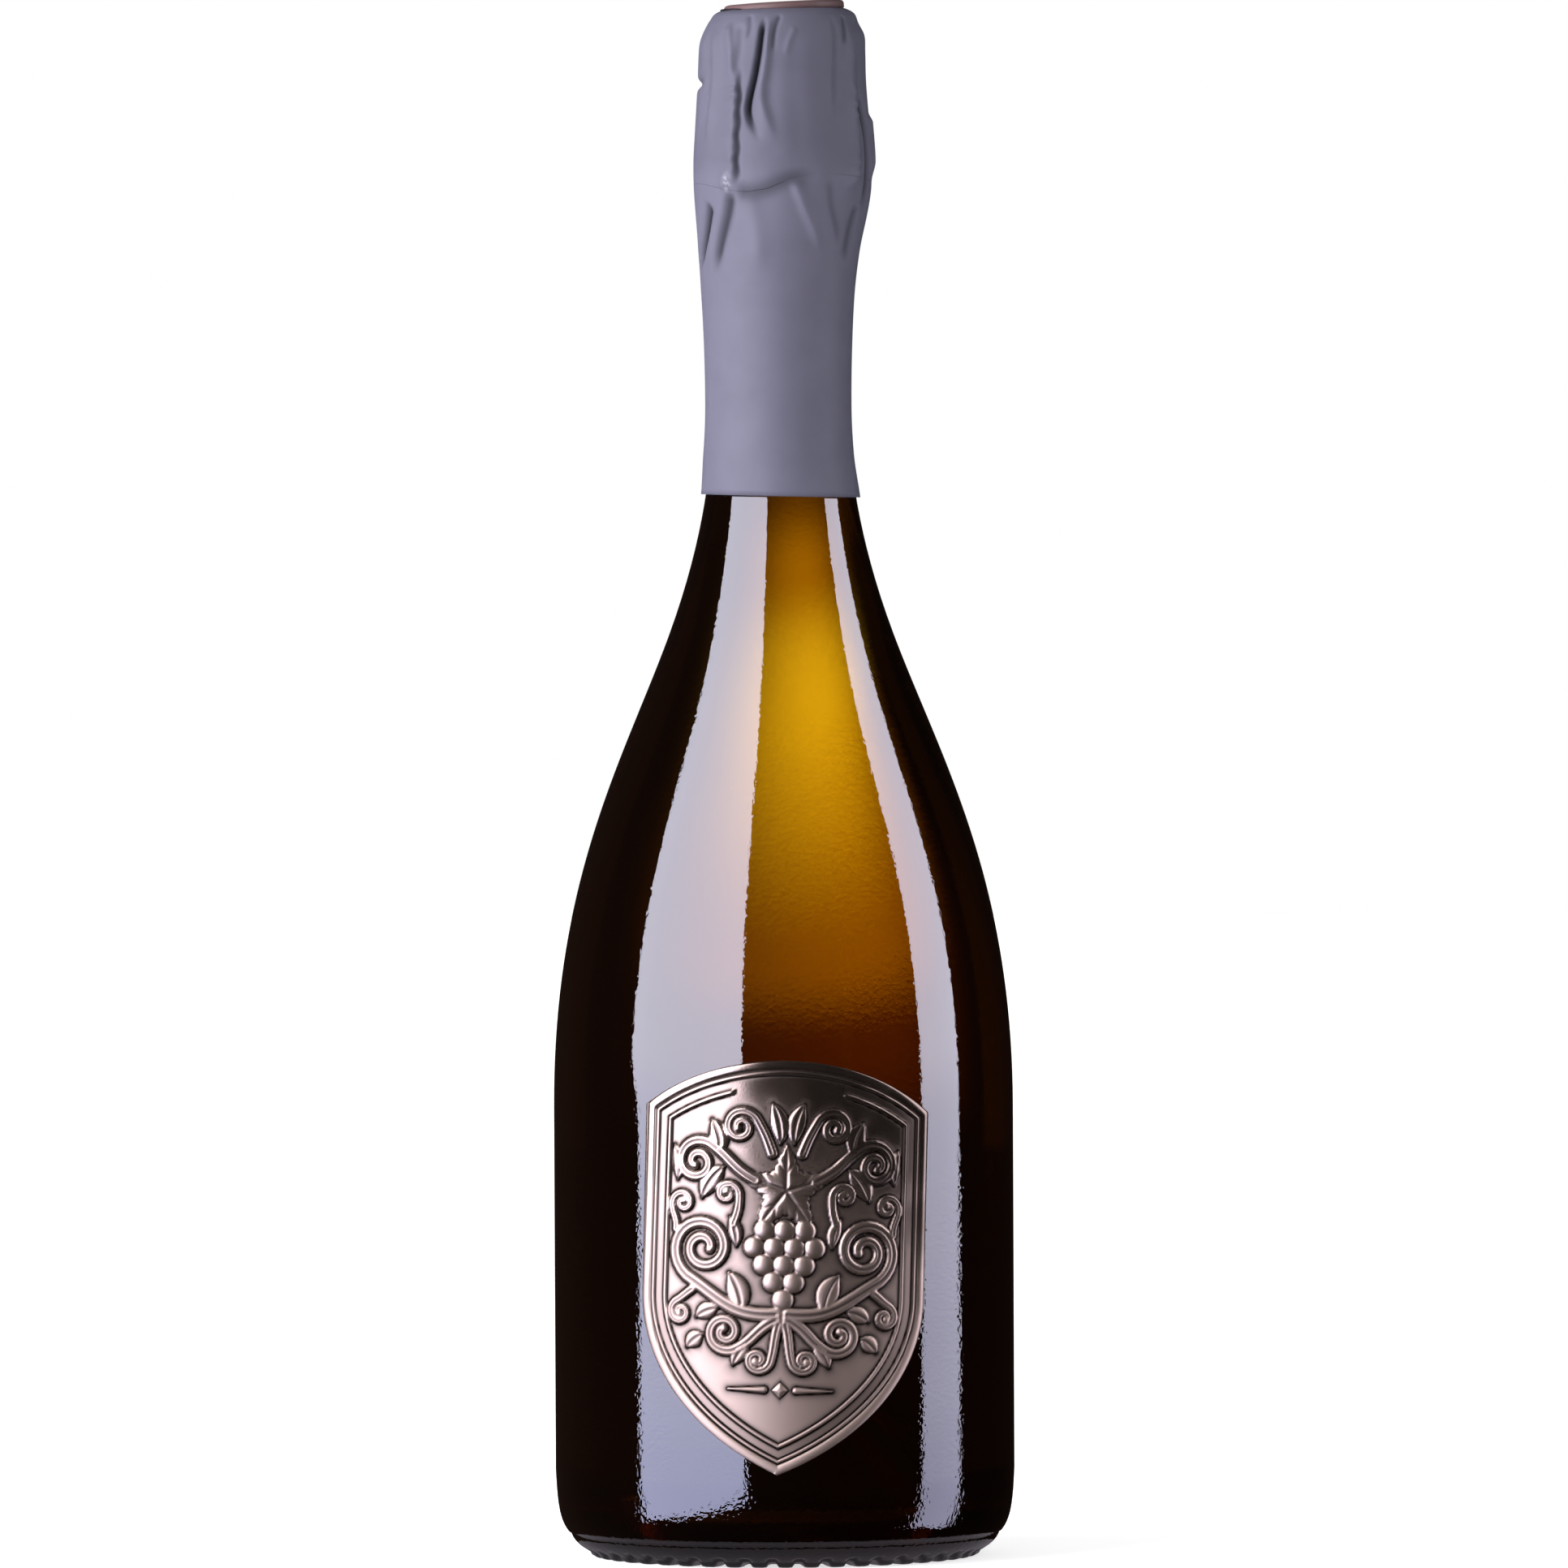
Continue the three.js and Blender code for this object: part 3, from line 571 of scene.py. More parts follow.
# Pewter, struck, blackened and buffed: warm grey metal with a soft shine, polished most at the top. It is
# dark and dull in the recesses, and it darkens in clouds towards the upper right.
CLOUD, BUFFING, BUFFED_DEPTH = 14 * MM, 0.5 * MM, 0.01 * MM
pewter, tree, shader = new_material("struck_pewter")
recess = add_node(tree, "ShaderNodeAttribute", attribute_name="patina").outputs["Fac"]
here = add_node(tree, "ShaderNodeTexCoord").outputs["Object"]
cloud = add_node(tree, "ShaderNodeTexNoise", {"Vector": here, "Scale": 1 / CLOUD, "Detail": 2.0}).outputs[0]
over_the_plate = add_node(tree, "ShaderNodeSeparateXYZ", {0: here}).outputs
upper_right = add_node(
    tree, "ShaderNodeMath", {0: over_the_plate["X"], 1: over_the_plate["Z"]}, operation="ADD",
).outputs[0]
climbing = add_node(
    tree, "ShaderNodeMapRange", {0: upper_right, 1: 70 * MM, 2: 104 * MM, 3: -0.3, 4: 0.45},
).outputs[0]
clouded = add_node(tree, "ShaderNodeMath", {0: cloud, 1: climbing}, operation="ADD").outputs[0]
upper_right_darkening = add_node(tree, "ShaderNodeMapRange", {0: clouded, 1: 0.4, 2: 0.9, 3: 0.0, 4: 0.7}).outputs[0]
darkening = add_node(tree, "ShaderNodeMath", {0: recess, 1: upper_right_darkening}, operation="MAXIMUM").outputs[0]
colour = add_node(
    tree, "ShaderNodeMix", {0: darkening, 6: linear("#e2cab8"), 7: linear("#17100d")}, data_type="RGBA",
).outputs[2]
polish = add_node(
    tree, "ShaderNodeMapRange", {0: over_the_plate["Z"], 1: 46 * MM, 2: 86 * MM, 3: 0.52, 4: 0.19},
).outputs[0]
dull = add_node(tree, "ShaderNodeMapRange", {0: recess, 1: 0.0, 2: 1.0, 3: polish, 4: 0.5}).outputs[0]
buffing = add_node(
    tree, "ShaderNodeTexNoise", {"Vector": here, "Scale": 1 / BUFFING, "Detail": 2.0},
).outputs[0]
buffed = add_node(
    tree, "ShaderNodeBump", {"Height": buffing, "Distance": BUFFED_DEPTH, "Strength": 1.0},
).outputs[0]
fill(tree, shader, {
    "Base Color": colour, "Metallic": 0.96, "Roughness": dull, "Specular IOR Level": 0.2, "Normal": buffed,
})
label_mesh.materials.append(pewter)
label = bpy.data.objects.new("pewter_shield", label_mesh)
bpy.context.scene.collection.objects.link(label)
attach(label, "bottle")
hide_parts("front_label")

# Cork
# An agglomerate stopper, moulded from cork granules and glue, with a mushroom head. Two discs of natural
# cork are glued under it, at the wine's end.
cork_low, cork_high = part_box("cork_body")
CORK_FOOT, CORK_TOP, HEAD = cork_low.z / MM, cork_high.z / MM, cork_high.x / MM
SHANK = 8.5
GRANULE, PIT_DEPTH = 2.4 * MM, 0.12 * MM
PORE = 1.3 * MM
granulated, tree, shader = new_material("agglomerated_cork")
here = add_node(tree, "ShaderNodeTexCoord").outputs["Object"]
cells = add_node(tree, "ShaderNodeTexVoronoi", {"Vector": here, "Scale": 1 / GRANULE}).outputs
shade = add_node(tree, "ShaderNodeSeparateColor", {0: cells["Color"]}).outputs[0]
colour = add_node(
    tree, "ShaderNodeMix", {0: shade, 6: linear("#a87a4a"), 7: linear("#d9b382")}, data_type="RGBA",
).outputs[2]
pits = add_node(tree, "ShaderNodeBump", {"Height": cells["Distance"], "Distance": -PIT_DEPTH}).outputs[0]
fill(tree, shader, {"Base Color": colour, "Roughness": 0.85, "Normal": pits})

natural, tree, shader = new_material("punched_natural_cork")
here = add_node(tree, "ShaderNodeTexCoord").outputs["Object"]
pores = add_node(tree, "ShaderNodeTexNoise", {"Vector": here, "Scale": 1 / PORE, "Detail": 4.0}).outputs[0]
dark_pores = add_node(tree, "ShaderNodeMapRange", {0: pores, 1: 0.58, 2: 0.68, 3: 0.0, 4: 1.0}).outputs[0]
colour = add_node(
    tree, "ShaderNodeMix", {0: dark_pores, 6: linear("#c79a64"), 7: linear("#6b4526")}, data_type="RGBA",
).outputs[2]
fill(tree, shader, {"Base Color": colour, "Roughness": 0.8})

stopper_profile = [at(0, CORK_FOOT), at(SHANK - 0.4, CORK_FOOT), at(SHANK, CORK_FOOT + 0.4)]
stopper_profile += bend((SHANK, 299.2), (SHANK, 302), (HEAD, 301.5), (HEAD, 305), 14)
stopper_profile += bend((HEAD, 307.5), (HEAD, 311.5), (HEAD - 2, CORK_TOP), (8, CORK_TOP), 12)
stopper = turned_piece("cork_stopper", stopper_profile + [at(0, CORK_TOP)], ROUND_SIDES, granulated)
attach(stopper, "cork")
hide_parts("cork_body")
for disc_node in ("cork_disc_upper", "cork_disc_lower"):
    disc_low, disc_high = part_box(disc_node)
    foot, top = disc_low.z / MM, disc_high.z / MM
    edge = [
        at(0, foot), at(SHANK - 0.3, foot), at(SHANK, foot + 0.3),
        at(SHANK, top - 0.2), at(SHANK - 0.2, top), at(0, top),
    ]
    disc = turned_piece(disc_node + "_face", edge, 72, natural)
    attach(disc, "cork")
    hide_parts(disc_node)

# Cage cap
# A disc pressed from lacquered tinplate, between the wires and the cork, so that the wires don't cut in.
# It has a rolled edge and a shallow ring that the top wires lie in.
cap_low, cap_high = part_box("cage_cap")
CAP_FOOT, CAP_TOP = cap_low.z / MM, cap_high.z / MM
CAP_RADIUS = 12.9
CAP_SHEET = 0.35
PEEL, PEEL_DEPTH = 0.8 * MM, 0.01 * MM
lacquer, tree, shader = new_material("lacquered_tinplate")
here = add_node(tree, "ShaderNodeTexCoord").outputs["Object"]
orange_peel = add_node(tree, "ShaderNodeTexNoise", {"Vector": here, "Scale": 1 / PEEL}).outputs[0]
peel = add_node(tree, "ShaderNodeBump", {"Height": orange_peel, "Distance": PEEL_DEPTH}).outputs[0]
fill(tree, shader, {"Base Color": linear("#474b5c"), "Metallic": 0.5, "Roughness": 0.32, "Normal": peel})
under = [
    at(0, CAP_TOP - 0.35), at(7.8, CAP_TOP - 0.38), at(8.4, CAP_TOP - 0.5), at(11, CAP_TOP - 0.7),
    at(12.3, CAP_FOOT + 0.5), at(CAP_RADIUS, CAP_FOOT + 0.1),
]
over = offset(under, [CAP_SHEET] * len(under))
over[0].x = 0
plaque = turned_piece("pressed_cap", under + over[::-1], ROUND_SIDES, lacquer)
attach(plaque, "cage")
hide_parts("cage_cap")

# Cage wires
# Galvanised steel wire. Four wires run up a leg, along a quarter of the top ring and down the next leg,
# twisted in pairs, and each turns an eye round the belt. The belt's tail is twisted into a loop.
LEG_BEARINGS = (-32, 58, 148, 238)
LEG_WIRE, BELT_WIRE, LOOP_WIRE = 0.7, 1.0, 0.8
STRAND_GAP = 0.26
LEG_TURNS, STEM_TURNS = 4, 3
TOP_RADIUS, TOP_HEIGHT = 11.6, 316
EYE_RADIUS, EYE_WIDTH, EYE_FOOT = 16.6, 1.85, 278.8
BELT_RADIUS, BELT_HEIGHT = 15.2, 280.9
BELT_BUMP, BELT_REACH = 2.5, 3.2
LOOP_BEARING, LOOP_RING = 193, 3.4
STEM_FOOT, STEM_LENGTH = 283.6, 9.6
WIRE_SIDES, WIRE_STEP = 10, 0.3
SPANGLE = 0.7 * MM

drawing, drawing_inputs, given = start_tree("wire_along_a_path", (
    ("Path", "NodeSocketGeometry"), ("Diameter", "NodeSocketFloat"), ("Sides", "NodeSocketInt"),
    ("Step", "NodeSocketFloat"), ("Material", "NodeSocketMaterial"),
), "Wire")
curved = add_node(
    drawing, "GeometryNodeCurveSplineType", {0: given["Path"]}, spline_type="CATMULL_ROM",
).outputs[0]
even = add_node(
    drawing, "GeometryNodeResampleCurve", {"Curve": curved, "Length": given["Step"]}, mode="LENGTH",
).outputs[0]
radius = add_node(drawing, "ShaderNodeMath", {0: given["Diameter"], 1: 0.5}, operation="MULTIPLY").outputs[0]
section = add_node(
    drawing, "GeometryNodeCurvePrimitiveCircle", {"Resolution": given["Sides"], "Radius": radius},
).outputs[0]
drawn = add_node(
    drawing, "GeometryNodeCurveToMesh", {"Curve": even, "Profile Curve": section, "Fill Caps": True},
).outputs[0]
end_tree(drawing, drawn, given["Material"])

galvanised, tree, shader = new_material("galvanised_drawn_wire")
here = add_node(tree, "ShaderNodeTexCoord").outputs["Object"]
spangle = add_node(
    tree, "ShaderNodeTexNoise", {"Vector": here, "Scale": 1 / SPANGLE, "Detail": 2.0},
).outputs[0]
colour = add_node(
    tree, "ShaderNodeMix", {0: spangle, 6: linear("#8d8f96"), 7: linear("#c3c4c8")}, data_type="RGBA",
).outputs[2]
fill(tree, shader, {"Base Color": colour, "Metallic": 1.0, "Roughness": 0.34})


def beside(bearing, outward, sideways, height):
    """A point by the neck, given by its bearing, its distance out and its distance sideways."""
    a = math.radians(bearing)
    x = outward * math.sin(a) + sideways * math.cos(a)
    y = sideways * math.sin(a) - outward * math.cos(a)
    return x * MM, y * MM, height * MM


def wire_piece(name, points, diameter, node, body):
    """A wire drawn along given or worked-out points, in place of its CAD node."""
    path = bpy.data.curves.new(name + "_path", "CURVE")
    path.dimensions = "3D"
    spline = path.splines.new("POLY")
    spline.points.add(len(points) - 1)
    for target, spot in zip(spline.points, points):
        target.co = (*spot, 1)
    piece = shaped(name, path, drawing, {
        drawing_inputs["Diameter"]: diameter * MM,
        drawing_inputs["Sides"]: WIRE_SIDES,
        drawing_inputs["Step"]: WIRE_STEP * MM,
        drawing_inputs["Material"]: galvanised,
    })
    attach(piece, body)
    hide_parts(node)


# The middle of a leg, from its head to its foot, as distance out and height.
LEG_LINE = [(15.75, 309), (15.95, 304), (16.2, 299.5), (16.75, 293.5), (17.1, 288.5), (17.1, 284.8)]
leg_outs, leg_heights = np.array(LEG_LINE).T


def strand(bearing, side):
    """One of the two wires of a leg, from its head to its foot."""
    spread = (LEG_WIRE + STRAND_GAP) / 2
    points = []
    for along in np.linspace(0, 1, 12 * LEG_TURNS + 1):
        height = leg_heights[0] + (leg_heights[-1] - leg_heights[0]) * along
        out = np.interp(-height, -leg_heights, leg_outs)
        turn = side * math.pi / 2 + 2 * math.pi * LEG_TURNS * along
        points.append(beside(bearing, out + spread * math.cos(turn), spread * math.sin(turn), height))
    return points


def over_the_edge(bearing, side):
    """The way from the top ring over the edge of the cork to the head of a leg."""
    way = [(12.2, 1.05, 315.6), (13.6, 0.62, 314.1), (15, 0.5, 311.8)]
    return [beside(bearing, out, side * aside, height) for out, aside, height in way]


def eye_round_the_belt(bearing):
    """The end of a leg's wire, turned round the belt and back up."""
    turn = [
        (0.15, 0.75, 283.2), (0, 1, 281.1), (0, 0.7, EYE_FOOT + 0.6), (0, 0, EYE_FOOT),
        (0, -0.7, EYE_FOOT + 0.6), (0, -1, 281.1), (0.15, -0.8, 283),
    ]
    return [beside(bearing, EYE_RADIUS + out, aside * EYE_WIDTH, height) for out, aside, height in turn]


for number, bearing in enumerate(LEG_BEARINGS, 1):
    following = bearing + 90
    quarter = [beside(bearing + turn, TOP_RADIUS, 0, TOP_HEIGHT) for turn in (15, 30, 45, 60, 75)]
    route = eye_round_the_belt(bearing)[::-1] + strand(bearing, 1)[::-1] + over_the_edge(bearing, 1)[::-1]
    route += quarter + over_the_edge(following, -1) + strand(following, -1)
    wire_piece(f"leg_wire_{number}", route, LEG_WIRE, f"cage_wire_{number}", "cage")

belt_route = []
for along in np.linspace(0, 1, 181):
    bearing = LOOP_BEARING + 5 + 350 * along
    out = BELT_RADIUS
    for leg in LEG_BEARINGS:
        crossing = leg - math.degrees(EYE_WIDTH / EYE_RADIUS)
        apart = (bearing - crossing + 180) % 360 - 180
        away = abs(math.radians(apart)) * EYE_RADIUS / BELT_REACH
        if away < 1:
            out += BELT_BUMP * math.cos(math.pi / 2 * away) ** 2
    belt_route.append(beside(bearing, out, 0, BELT_HEIGHT))
wire_piece("belt_wire", belt_route, BELT_WIRE, "cage_belt", "cage")


def loop_stem(side):
    """One of the two twisted wires of the loop's stem, from the belt up."""
    spread = (LOOP_WIRE + STRAND_GAP) / 2
    points = [beside(LOOP_BEARING, 16.5, side * 1.3, 281.9)]
    for along in np.linspace(0, 1, 37):
        turn = side * math.pi / 2 + 2 * math.pi * STEM_TURNS * along
        out = 16.95 - 0.2 * along + spread * math.cos(turn)
        points.append(beside(LOOP_BEARING, out, spread * math.sin(turn), STEM_FOOT + STEM_LENGTH * along))
    return points


loop_ring = []
ring_middle = STEM_FOOT + STEM_LENGTH + 1.4 + LOOP_RING
for turn in np.radians(np.linspace(-60, 240, 25)):
    height = ring_middle + LOOP_RING * math.sin(turn)
    loop_ring.append(beside(LOOP_BEARING, 16.45, LOOP_RING * math.cos(turn), height))
wire_piece("finger_loop", loop_stem(1) + loop_ring + loop_stem(-1)[::-1], LOOP_WIRE, "cage_loop", "loop")

# Foil
# Aluminium laminate with a satin slate lacquer outside and bare silver inside. A tapered sleeve is
# wrapped round the neck and pressed down over the cage: its skirt stays smooth, its hood crumples over
# the twisted wires, and it tears off along a cut under the ring. A brown lid closes the top.
hood_low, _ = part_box("foil_hood")
FOIL_SHEET = 0.12 * MM
MOTTLE, SCUFF = 6 * MM, 0.9 * MM
GRIT, GRIT_DEPTH = 0.35 * MM, 0.006 * MM
slate, tree, shader = new_material("slate_lacquered_foil")
here = add_node(tree, "ShaderNodeTexCoord").outputs["Object"]
inside = add_node(tree, "ShaderNodeAttribute", attribute_name="inside").outputs["Fac"]
worn = add_node(tree, "ShaderNodeAttribute", attribute_name="worn").outputs["Fac"]
painted_shade = add_node(tree, "ShaderNodeAttribute", attribute_name="painted_shade").outputs["Fac"]
mottle = add_node(tree, "ShaderNodeTexNoise", {"Vector": here, "Scale": 1 / MOTTLE, "Detail": 3.0}).outputs[0]
lacquered = add_node(
    tree, "ShaderNodeMix", {0: mottle, 6: linear("#5c5b69"), 7: linear("#666574")}, data_type="RGBA",
).outputs[2]
# Shade is painted into the bottom of the folds, which darkens the lacquer's colour there, and the lacquer is
# rougher there too.
with_painted_shade = add_node(
    tree, "ShaderNodeMix", {0: painted_shade, 6: lacquered, 7: linear("#0f0f13")}, data_type="RGBA",
).outputs[2]
dull = add_node(tree, "ShaderNodeMapRange", {0: painted_shade, 1: 0.0, 2: 1.0, 3: 0.48, 4: 0.9}).outputs[0]
# Where the belt rubs, the lacquer is scuffed through in specks.
scuff = add_node(tree, "ShaderNodeTexNoise", {"Vector": here, "Scale": 1 / SCUFF, "Detail": 2.0}).outputs[0]
specks = add_node(tree, "ShaderNodeMapRange", {0: scuff, 1: 0.42, 2: 0.6, 3: 0.15, 4: 1.0}).outputs[0]
scuffed = add_node(tree, "ShaderNodeMath", {0: worn, 1: specks}, operation="MULTIPLY").outputs[0]
bare = add_node(tree, "ShaderNodeMath", {0: inside, 1: scuffed}, operation="MAXIMUM").outputs[0]
colour = add_node(
    tree, "ShaderNodeMix", {0: bare, 6: with_painted_shade, 7: linear("#b4b4ba")}, data_type="RGBA",
).outputs[2]
grit = add_node(tree, "ShaderNodeTexNoise", {"Vector": here, "Scale": 1 / GRIT, "Detail": 1.0}).outputs[0]
satin = add_node(tree, "ShaderNodeBump", {"Height": grit, "Distance": GRIT_DEPTH}).outputs[0]
fill(tree, shader, {
    "Base Color": colour, "Metallic": inside, "Roughness": dull, "Specular IOR Level": 0.15, "Normal": satin,
})

# The sleeve's outline, from the skirt's edge to the shoulder of the hood, as radius and height.
SLEEVE = [
    (16.3, 216.9), (15.5, 224.5), (15.05, 231.5), (14.98, 238.4), (15.15, 247), (15.5, 255), (16, 262),
    (16.7, 268.5), (17.5, 274), (18, 278), (18.2, 281), (18.25, 286), (17.9, 291.6), (17.5, 297),
    (17.2, 302), (17.05, 307), (16.8, 310.4), (15.9, 313.2), (14.6, 315.1), (13.2, 316), (12, 316.3),
    (10.4, 316.4),
]
CREASE_RADIUS = 17.2
FINE, COARSE = 0.9, 1.7
BEARINGS = np.concatenate([np.arange(-95, 95, FINE), np.arange(95, 264, COARSE)])


def smooth_through(points, count):
    """Points of a smooth curve through a few given ones, evenly spaced along it."""
    points = np.asarray(points, float)
    ends = np.vstack([2 * points[0] - points[1], points, 2 * points[-1] - points[-2]])
    curve = []
    for i in range(1, len(ends) - 2):
        a, b, c, d = ends[i - 1:i + 3]
        for t in np.linspace(0, 1, 24, endpoint=False):
            curve.append(0.5 * (2 * b + (c - a) * t + (2 * a - 5 * b + 4 * c - d) * t ** 2
                                + (3 * b - a - 3 * c + d) * t ** 3))
    curve = np.array(curve + [points[-1]])
    passed = np.concatenate([[0], np.cumsum(np.hypot(*np.diff(curve, axis=0).T))])
    even = np.linspace(0, passed[-1], count)
    return np.column_stack([np.interp(even, passed, curve[:, i]) for i in range(2)])


# Folds, each as its route of bearings and heights from the top down, its depth, half width and the strength of
# the shade painted along it.
FOLDS = [
    ([(-10.5, 315), (-13, 308), (-16.5, 302.4), (-21, 296.6), (-19.5, 293.4), (-11, 288.6)], 1.4, 0.7, 1.1),
    ([(2, 315.2), (-3, 311.6), (-4.5, 306.5)], 0.4, 0.6, 0.5),
    ([(-24, 315.2), (-21.5, 312.6), (-23, 309.6)], 0.35, 0.7, 0.3),
    ([(43, 315), (41.5, 309), (40, 300), (40, 292)], 0.3, 0.7, 0.2),
    ([(56, 314.6), (52, 311.5), (50, 308)], 0.35, 0.8, 0.45),
    ([(64, 299), (72, 292), (75, 285), (74, 279.5), (65, 274)], 1.05, 1.7, 0.72),
    ([(33, 281.5), (36, 276), (42, 272), (49, 267)], 0.3, 0.9, 0.25),
    ([(61, 276.4), (58, 273), (56.5, 269), (56, 264)], 0.45, 1.4, 0.4),
    ([(-33.5, 279.4), (-38, 274.5), (-46, 269), (-56, 262)], 0.9, 1.4, 0.75),
    ([(-55, 277), (-65, 270.5), (-82, 263)], 1.1, 1.4, 0.9),
    ([(-32, 279), (-20, 278.7), (-8, 279.4), (6, 281.2), (28, 283)], 0.4, 2.2, 0.5),
    ([(-63, 312), (-60, 301), (-65, 288)], 0.45, 1.7, 0.12),
    ([(-29.5, 313.6), (-28.5, 309), (-31, 304), (-32, 300)], 0.35, 1.0, 0.2),
    ([(-122, 303), (-104, 301.2), (-88, 301), (-74, 301.4), (-62, 302.6)], 1.0, 0.9, 0.1),
]
# Raised pleats, each as its route from the top down, its height, and its flanks' widths left and right.
PLEATS = [
    ([(-6.5, 314.8), (-9.5, 305), (-12, 300), (-11, 296.4), (-6.5, 292), (-1.5, 288)], 0.9, 1.5, 1.1),
    ([(12, 312.6), (7, 309.5), (4, 306)], 0.22, 0.6, 0.8),
    ([(9, 281.8), (14.5, 277.2), (20, 273.4), (33, 266)], 0.6, 1.0, 1.5),
    ([(84, 295), (90, 288), (86, 281)], 0.75, 1.6, 1.8),
    ([(-41, 313.8), (-35.5, 308), (-34.5, 301)], 0.55, 1.3, 0.8),
    ([(-54, 313), (-52, 304), (-55, 294), (-53, 286)], 0.5, 1.5, 1.3),
    ([(-22, 279), (-16, 271), (-15, 262)], 0.35, 2.0, 2.0),
    ([(52, 306), (55, 298), (53, 289)], 0.45, 1.4, 1.2),
]
# Round the back, which no light rakes, folds of the same kind, with their painted shade, follow a fixed seed.
handling = np.random.default_rng(20)
for place in range(9):
    bearing = 100 + 19 * place + handling.uniform(-7, 7)
    lean = handling.uniform(-8, 8)
    top, foot = handling.uniform(309, 315), handling.uniform(286, 297)
    middle = (bearing + handling.uniform(-4, 4), (top + foot) / 2)
    depth = handling.uniform(0.15, 0.9)
    FOLDS.append(([(bearing, top), middle, (bearing + lean, foot)], depth, 0.7, 0.8 * depth))
    pleat = [(bearing + 7, top), (middle[0] + 6, middle[1]), (bearing + lean + 7, foot)]
    PLEATS.append((pleat, 0.5 * depth, 0.9, 1.4))
    low_top, low_foot = handling.uniform(276, 279.5), handling.uniform(257, 265)
    low_depth = handling.uniform(-0.3, 0.7)
    if low_depth > 0:
        low_route = [(bearing + lean, low_top), (bearing - lean, low_foot)]
        FOLDS.append((low_route, low_depth, 0.9, 0.6 * low_depth))


def along_the_foil(route, bearings, heights):
    """Signed distance of each foil point to a route, and how strongly the route shows there."""
    route = smooth_through(route, 40)
    middle = route[:, 0].mean()
    flat = np.column_stack([
        (np.radians((bearings - middle + 180) % 360 - 180) * CREASE_RADIUS).ravel(), heights.ravel(),
    ])
    path = np.column_stack([np.radians(route[:, 0] - middle) * CREASE_RADIUS, route[:, 1]])
    away, side, share = nearest_on(path, flat, SEARCH)
    shown = ease(0, 0.14, share) * ease(1, 0.7, share) * (away < 1e5)
    return (away * np.where(side < 0, -1, 1)).reshape(bearings.shape), shown.reshape(bearings.shape)


RIDGE, EYE_BUMP = 0.75, 0.75
KNOT_PITCH = 2.95
SLOT_DEPTHS, SLOT_HALF, SLOT_PITCH = (0.5, 0.0, 0.4, 0.3), 0.62, 5.2
HOOD_PAINTED_SHADE = 0.12
DENTS, FLUTES = 0.12, 0.035
KNOCK, KNOCK_BEARING, KNOCK_HEIGHT = 0.8, 85, 313.2
NECK_LEAN, HOOD_LEAN, TOP_LEAN = -0.4, 0.7, 0.35
RUB, RUB_BEARING, RUB_HEIGHT = 0.6, -36, 280.6


def crumple(bearings, heights):
    """How far the foil stands off its smooth sleeve, in millimetres, how worn it is, and how much shade is
    painted on it.
    """
    stand = np.zeros(bearings.shape)
    shade = np.zeros(bearings.shape)
    for route, depth, half, dark in FOLDS:
        away, shown = along_the_foil(route, bearings, heights)
        stand -= depth * shown * np.exp(-(away / half) ** 2)
        # Shade is painted along each of the folds.
        shade = np.maximum(shade, dark * shown * np.exp(-(away / (0.85 * half)) ** 2))
    for route, tall, left, right in PLEATS:
        away, shown = along_the_foil(route, bearings, heights)
        stand += tall * shown * np.exp(-(away / np.where(away < 0, left, right)) ** 2)
    # Each leg of the cage lifts the foil in a ridge, with a knot at every half turn of its wires and a slot
    # beside it. The belt lifts it once more where it passes through the leg's eye.
    for leg, slot_depth in zip(LEG_BEARINGS, SLOT_DEPTHS):
        sideways = np.radians((bearings - leg + 180) % 360 - 180) * CREASE_RADIUS
        beside_the_leg = ease(280, 284, heights) * ease(306, 299, heights)
        twist = 2 * math.pi * (heights - 300) / KNOT_PITCH + 1.3 * np.sin(heights / 1.9 + leg)
        knots = 0.8 + 0.25 * beside_the_leg * np.cos(twist) * (0.7 + 0.3 * np.sin(heights / 2.6))
        up_the_leg = ease(279, 283, heights) * ease(313, 306, heights)
        steep = np.where(sideways > 0, 0.8 + 0.6 * (1 - beside_the_leg), 2.0)
        stand += RIDGE * knots * up_the_leg * np.exp(-(sideways / steep) ** 2)
        wander = 1.05 + 0.14 * np.sin(2 * math.pi * heights / SLOT_PITCH + leg)
        slot = beside_the_leg * np.exp(-((sideways - wander) / SLOT_HALF) ** 2)
        stand -= slot_depth * slot
        # Shade is painted into the slot as well.
        shade = np.maximum(shade, 1.5 * slot_depth * slot)
        at_the_eye = np.exp(-((sideways + 1.8) / 1.7) ** 2 - ((heights - BELT_HEIGHT) / 1.5) ** 2)
        stand += EYE_BUMP * at_the_eye
    # Slow dents and flutes stay where hands pressed the hood on, and one corner of its top is knocked in.
    # Shade is painted over the hood as well, which darkens its lacquer a little and makes it rougher.
    shade = np.maximum(shade, HOOD_PAINTED_SHADE * ease(281, 286, heights))
    turns = np.radians(bearings)
    slow = np.sin(3 * turns + 0.4) * np.sin(heights / 4.7) + 0.7 * np.sin(5 * turns - heights / 6.1)
    stand += DENTS * slow * ease(264, 280, heights)
    flutes = np.sin(11 * turns + 1.3) + 0.8 * np.sin(17 * turns + heights / 9) + 0.6 * np.sin(23 * turns)
    stand += FLUTES * flutes * ease(283, 290, heights) * ease(314, 308, heights)
    knocked = np.exp(-((bearings - KNOCK_BEARING) / 32) ** 2) * np.exp(-((heights - KNOCK_HEIGHT) / 1.8) ** 2)
    stand -= KNOCK * knocked
    # The neck leans a little to the left, and the hood was pushed over to the right.
    lean = NECK_LEAN * ease(216, 226, heights) * ease(274, 256, heights)
    lean = lean + HOOD_LEAN * ease(266, 280, heights) + TOP_LEAN * ease(308, 314, heights)
    stand += lean * np.sin(turns)
    rub_side = np.radians((bearings - RUB_BEARING + 180) % 360 - 180) * CREASE_RADIUS
    rub = np.hypot(rub_side / 0.8, (heights - RUB_HEIGHT) / 1.7)
    return stand, RUB * np.exp(-rub ** 2), shade


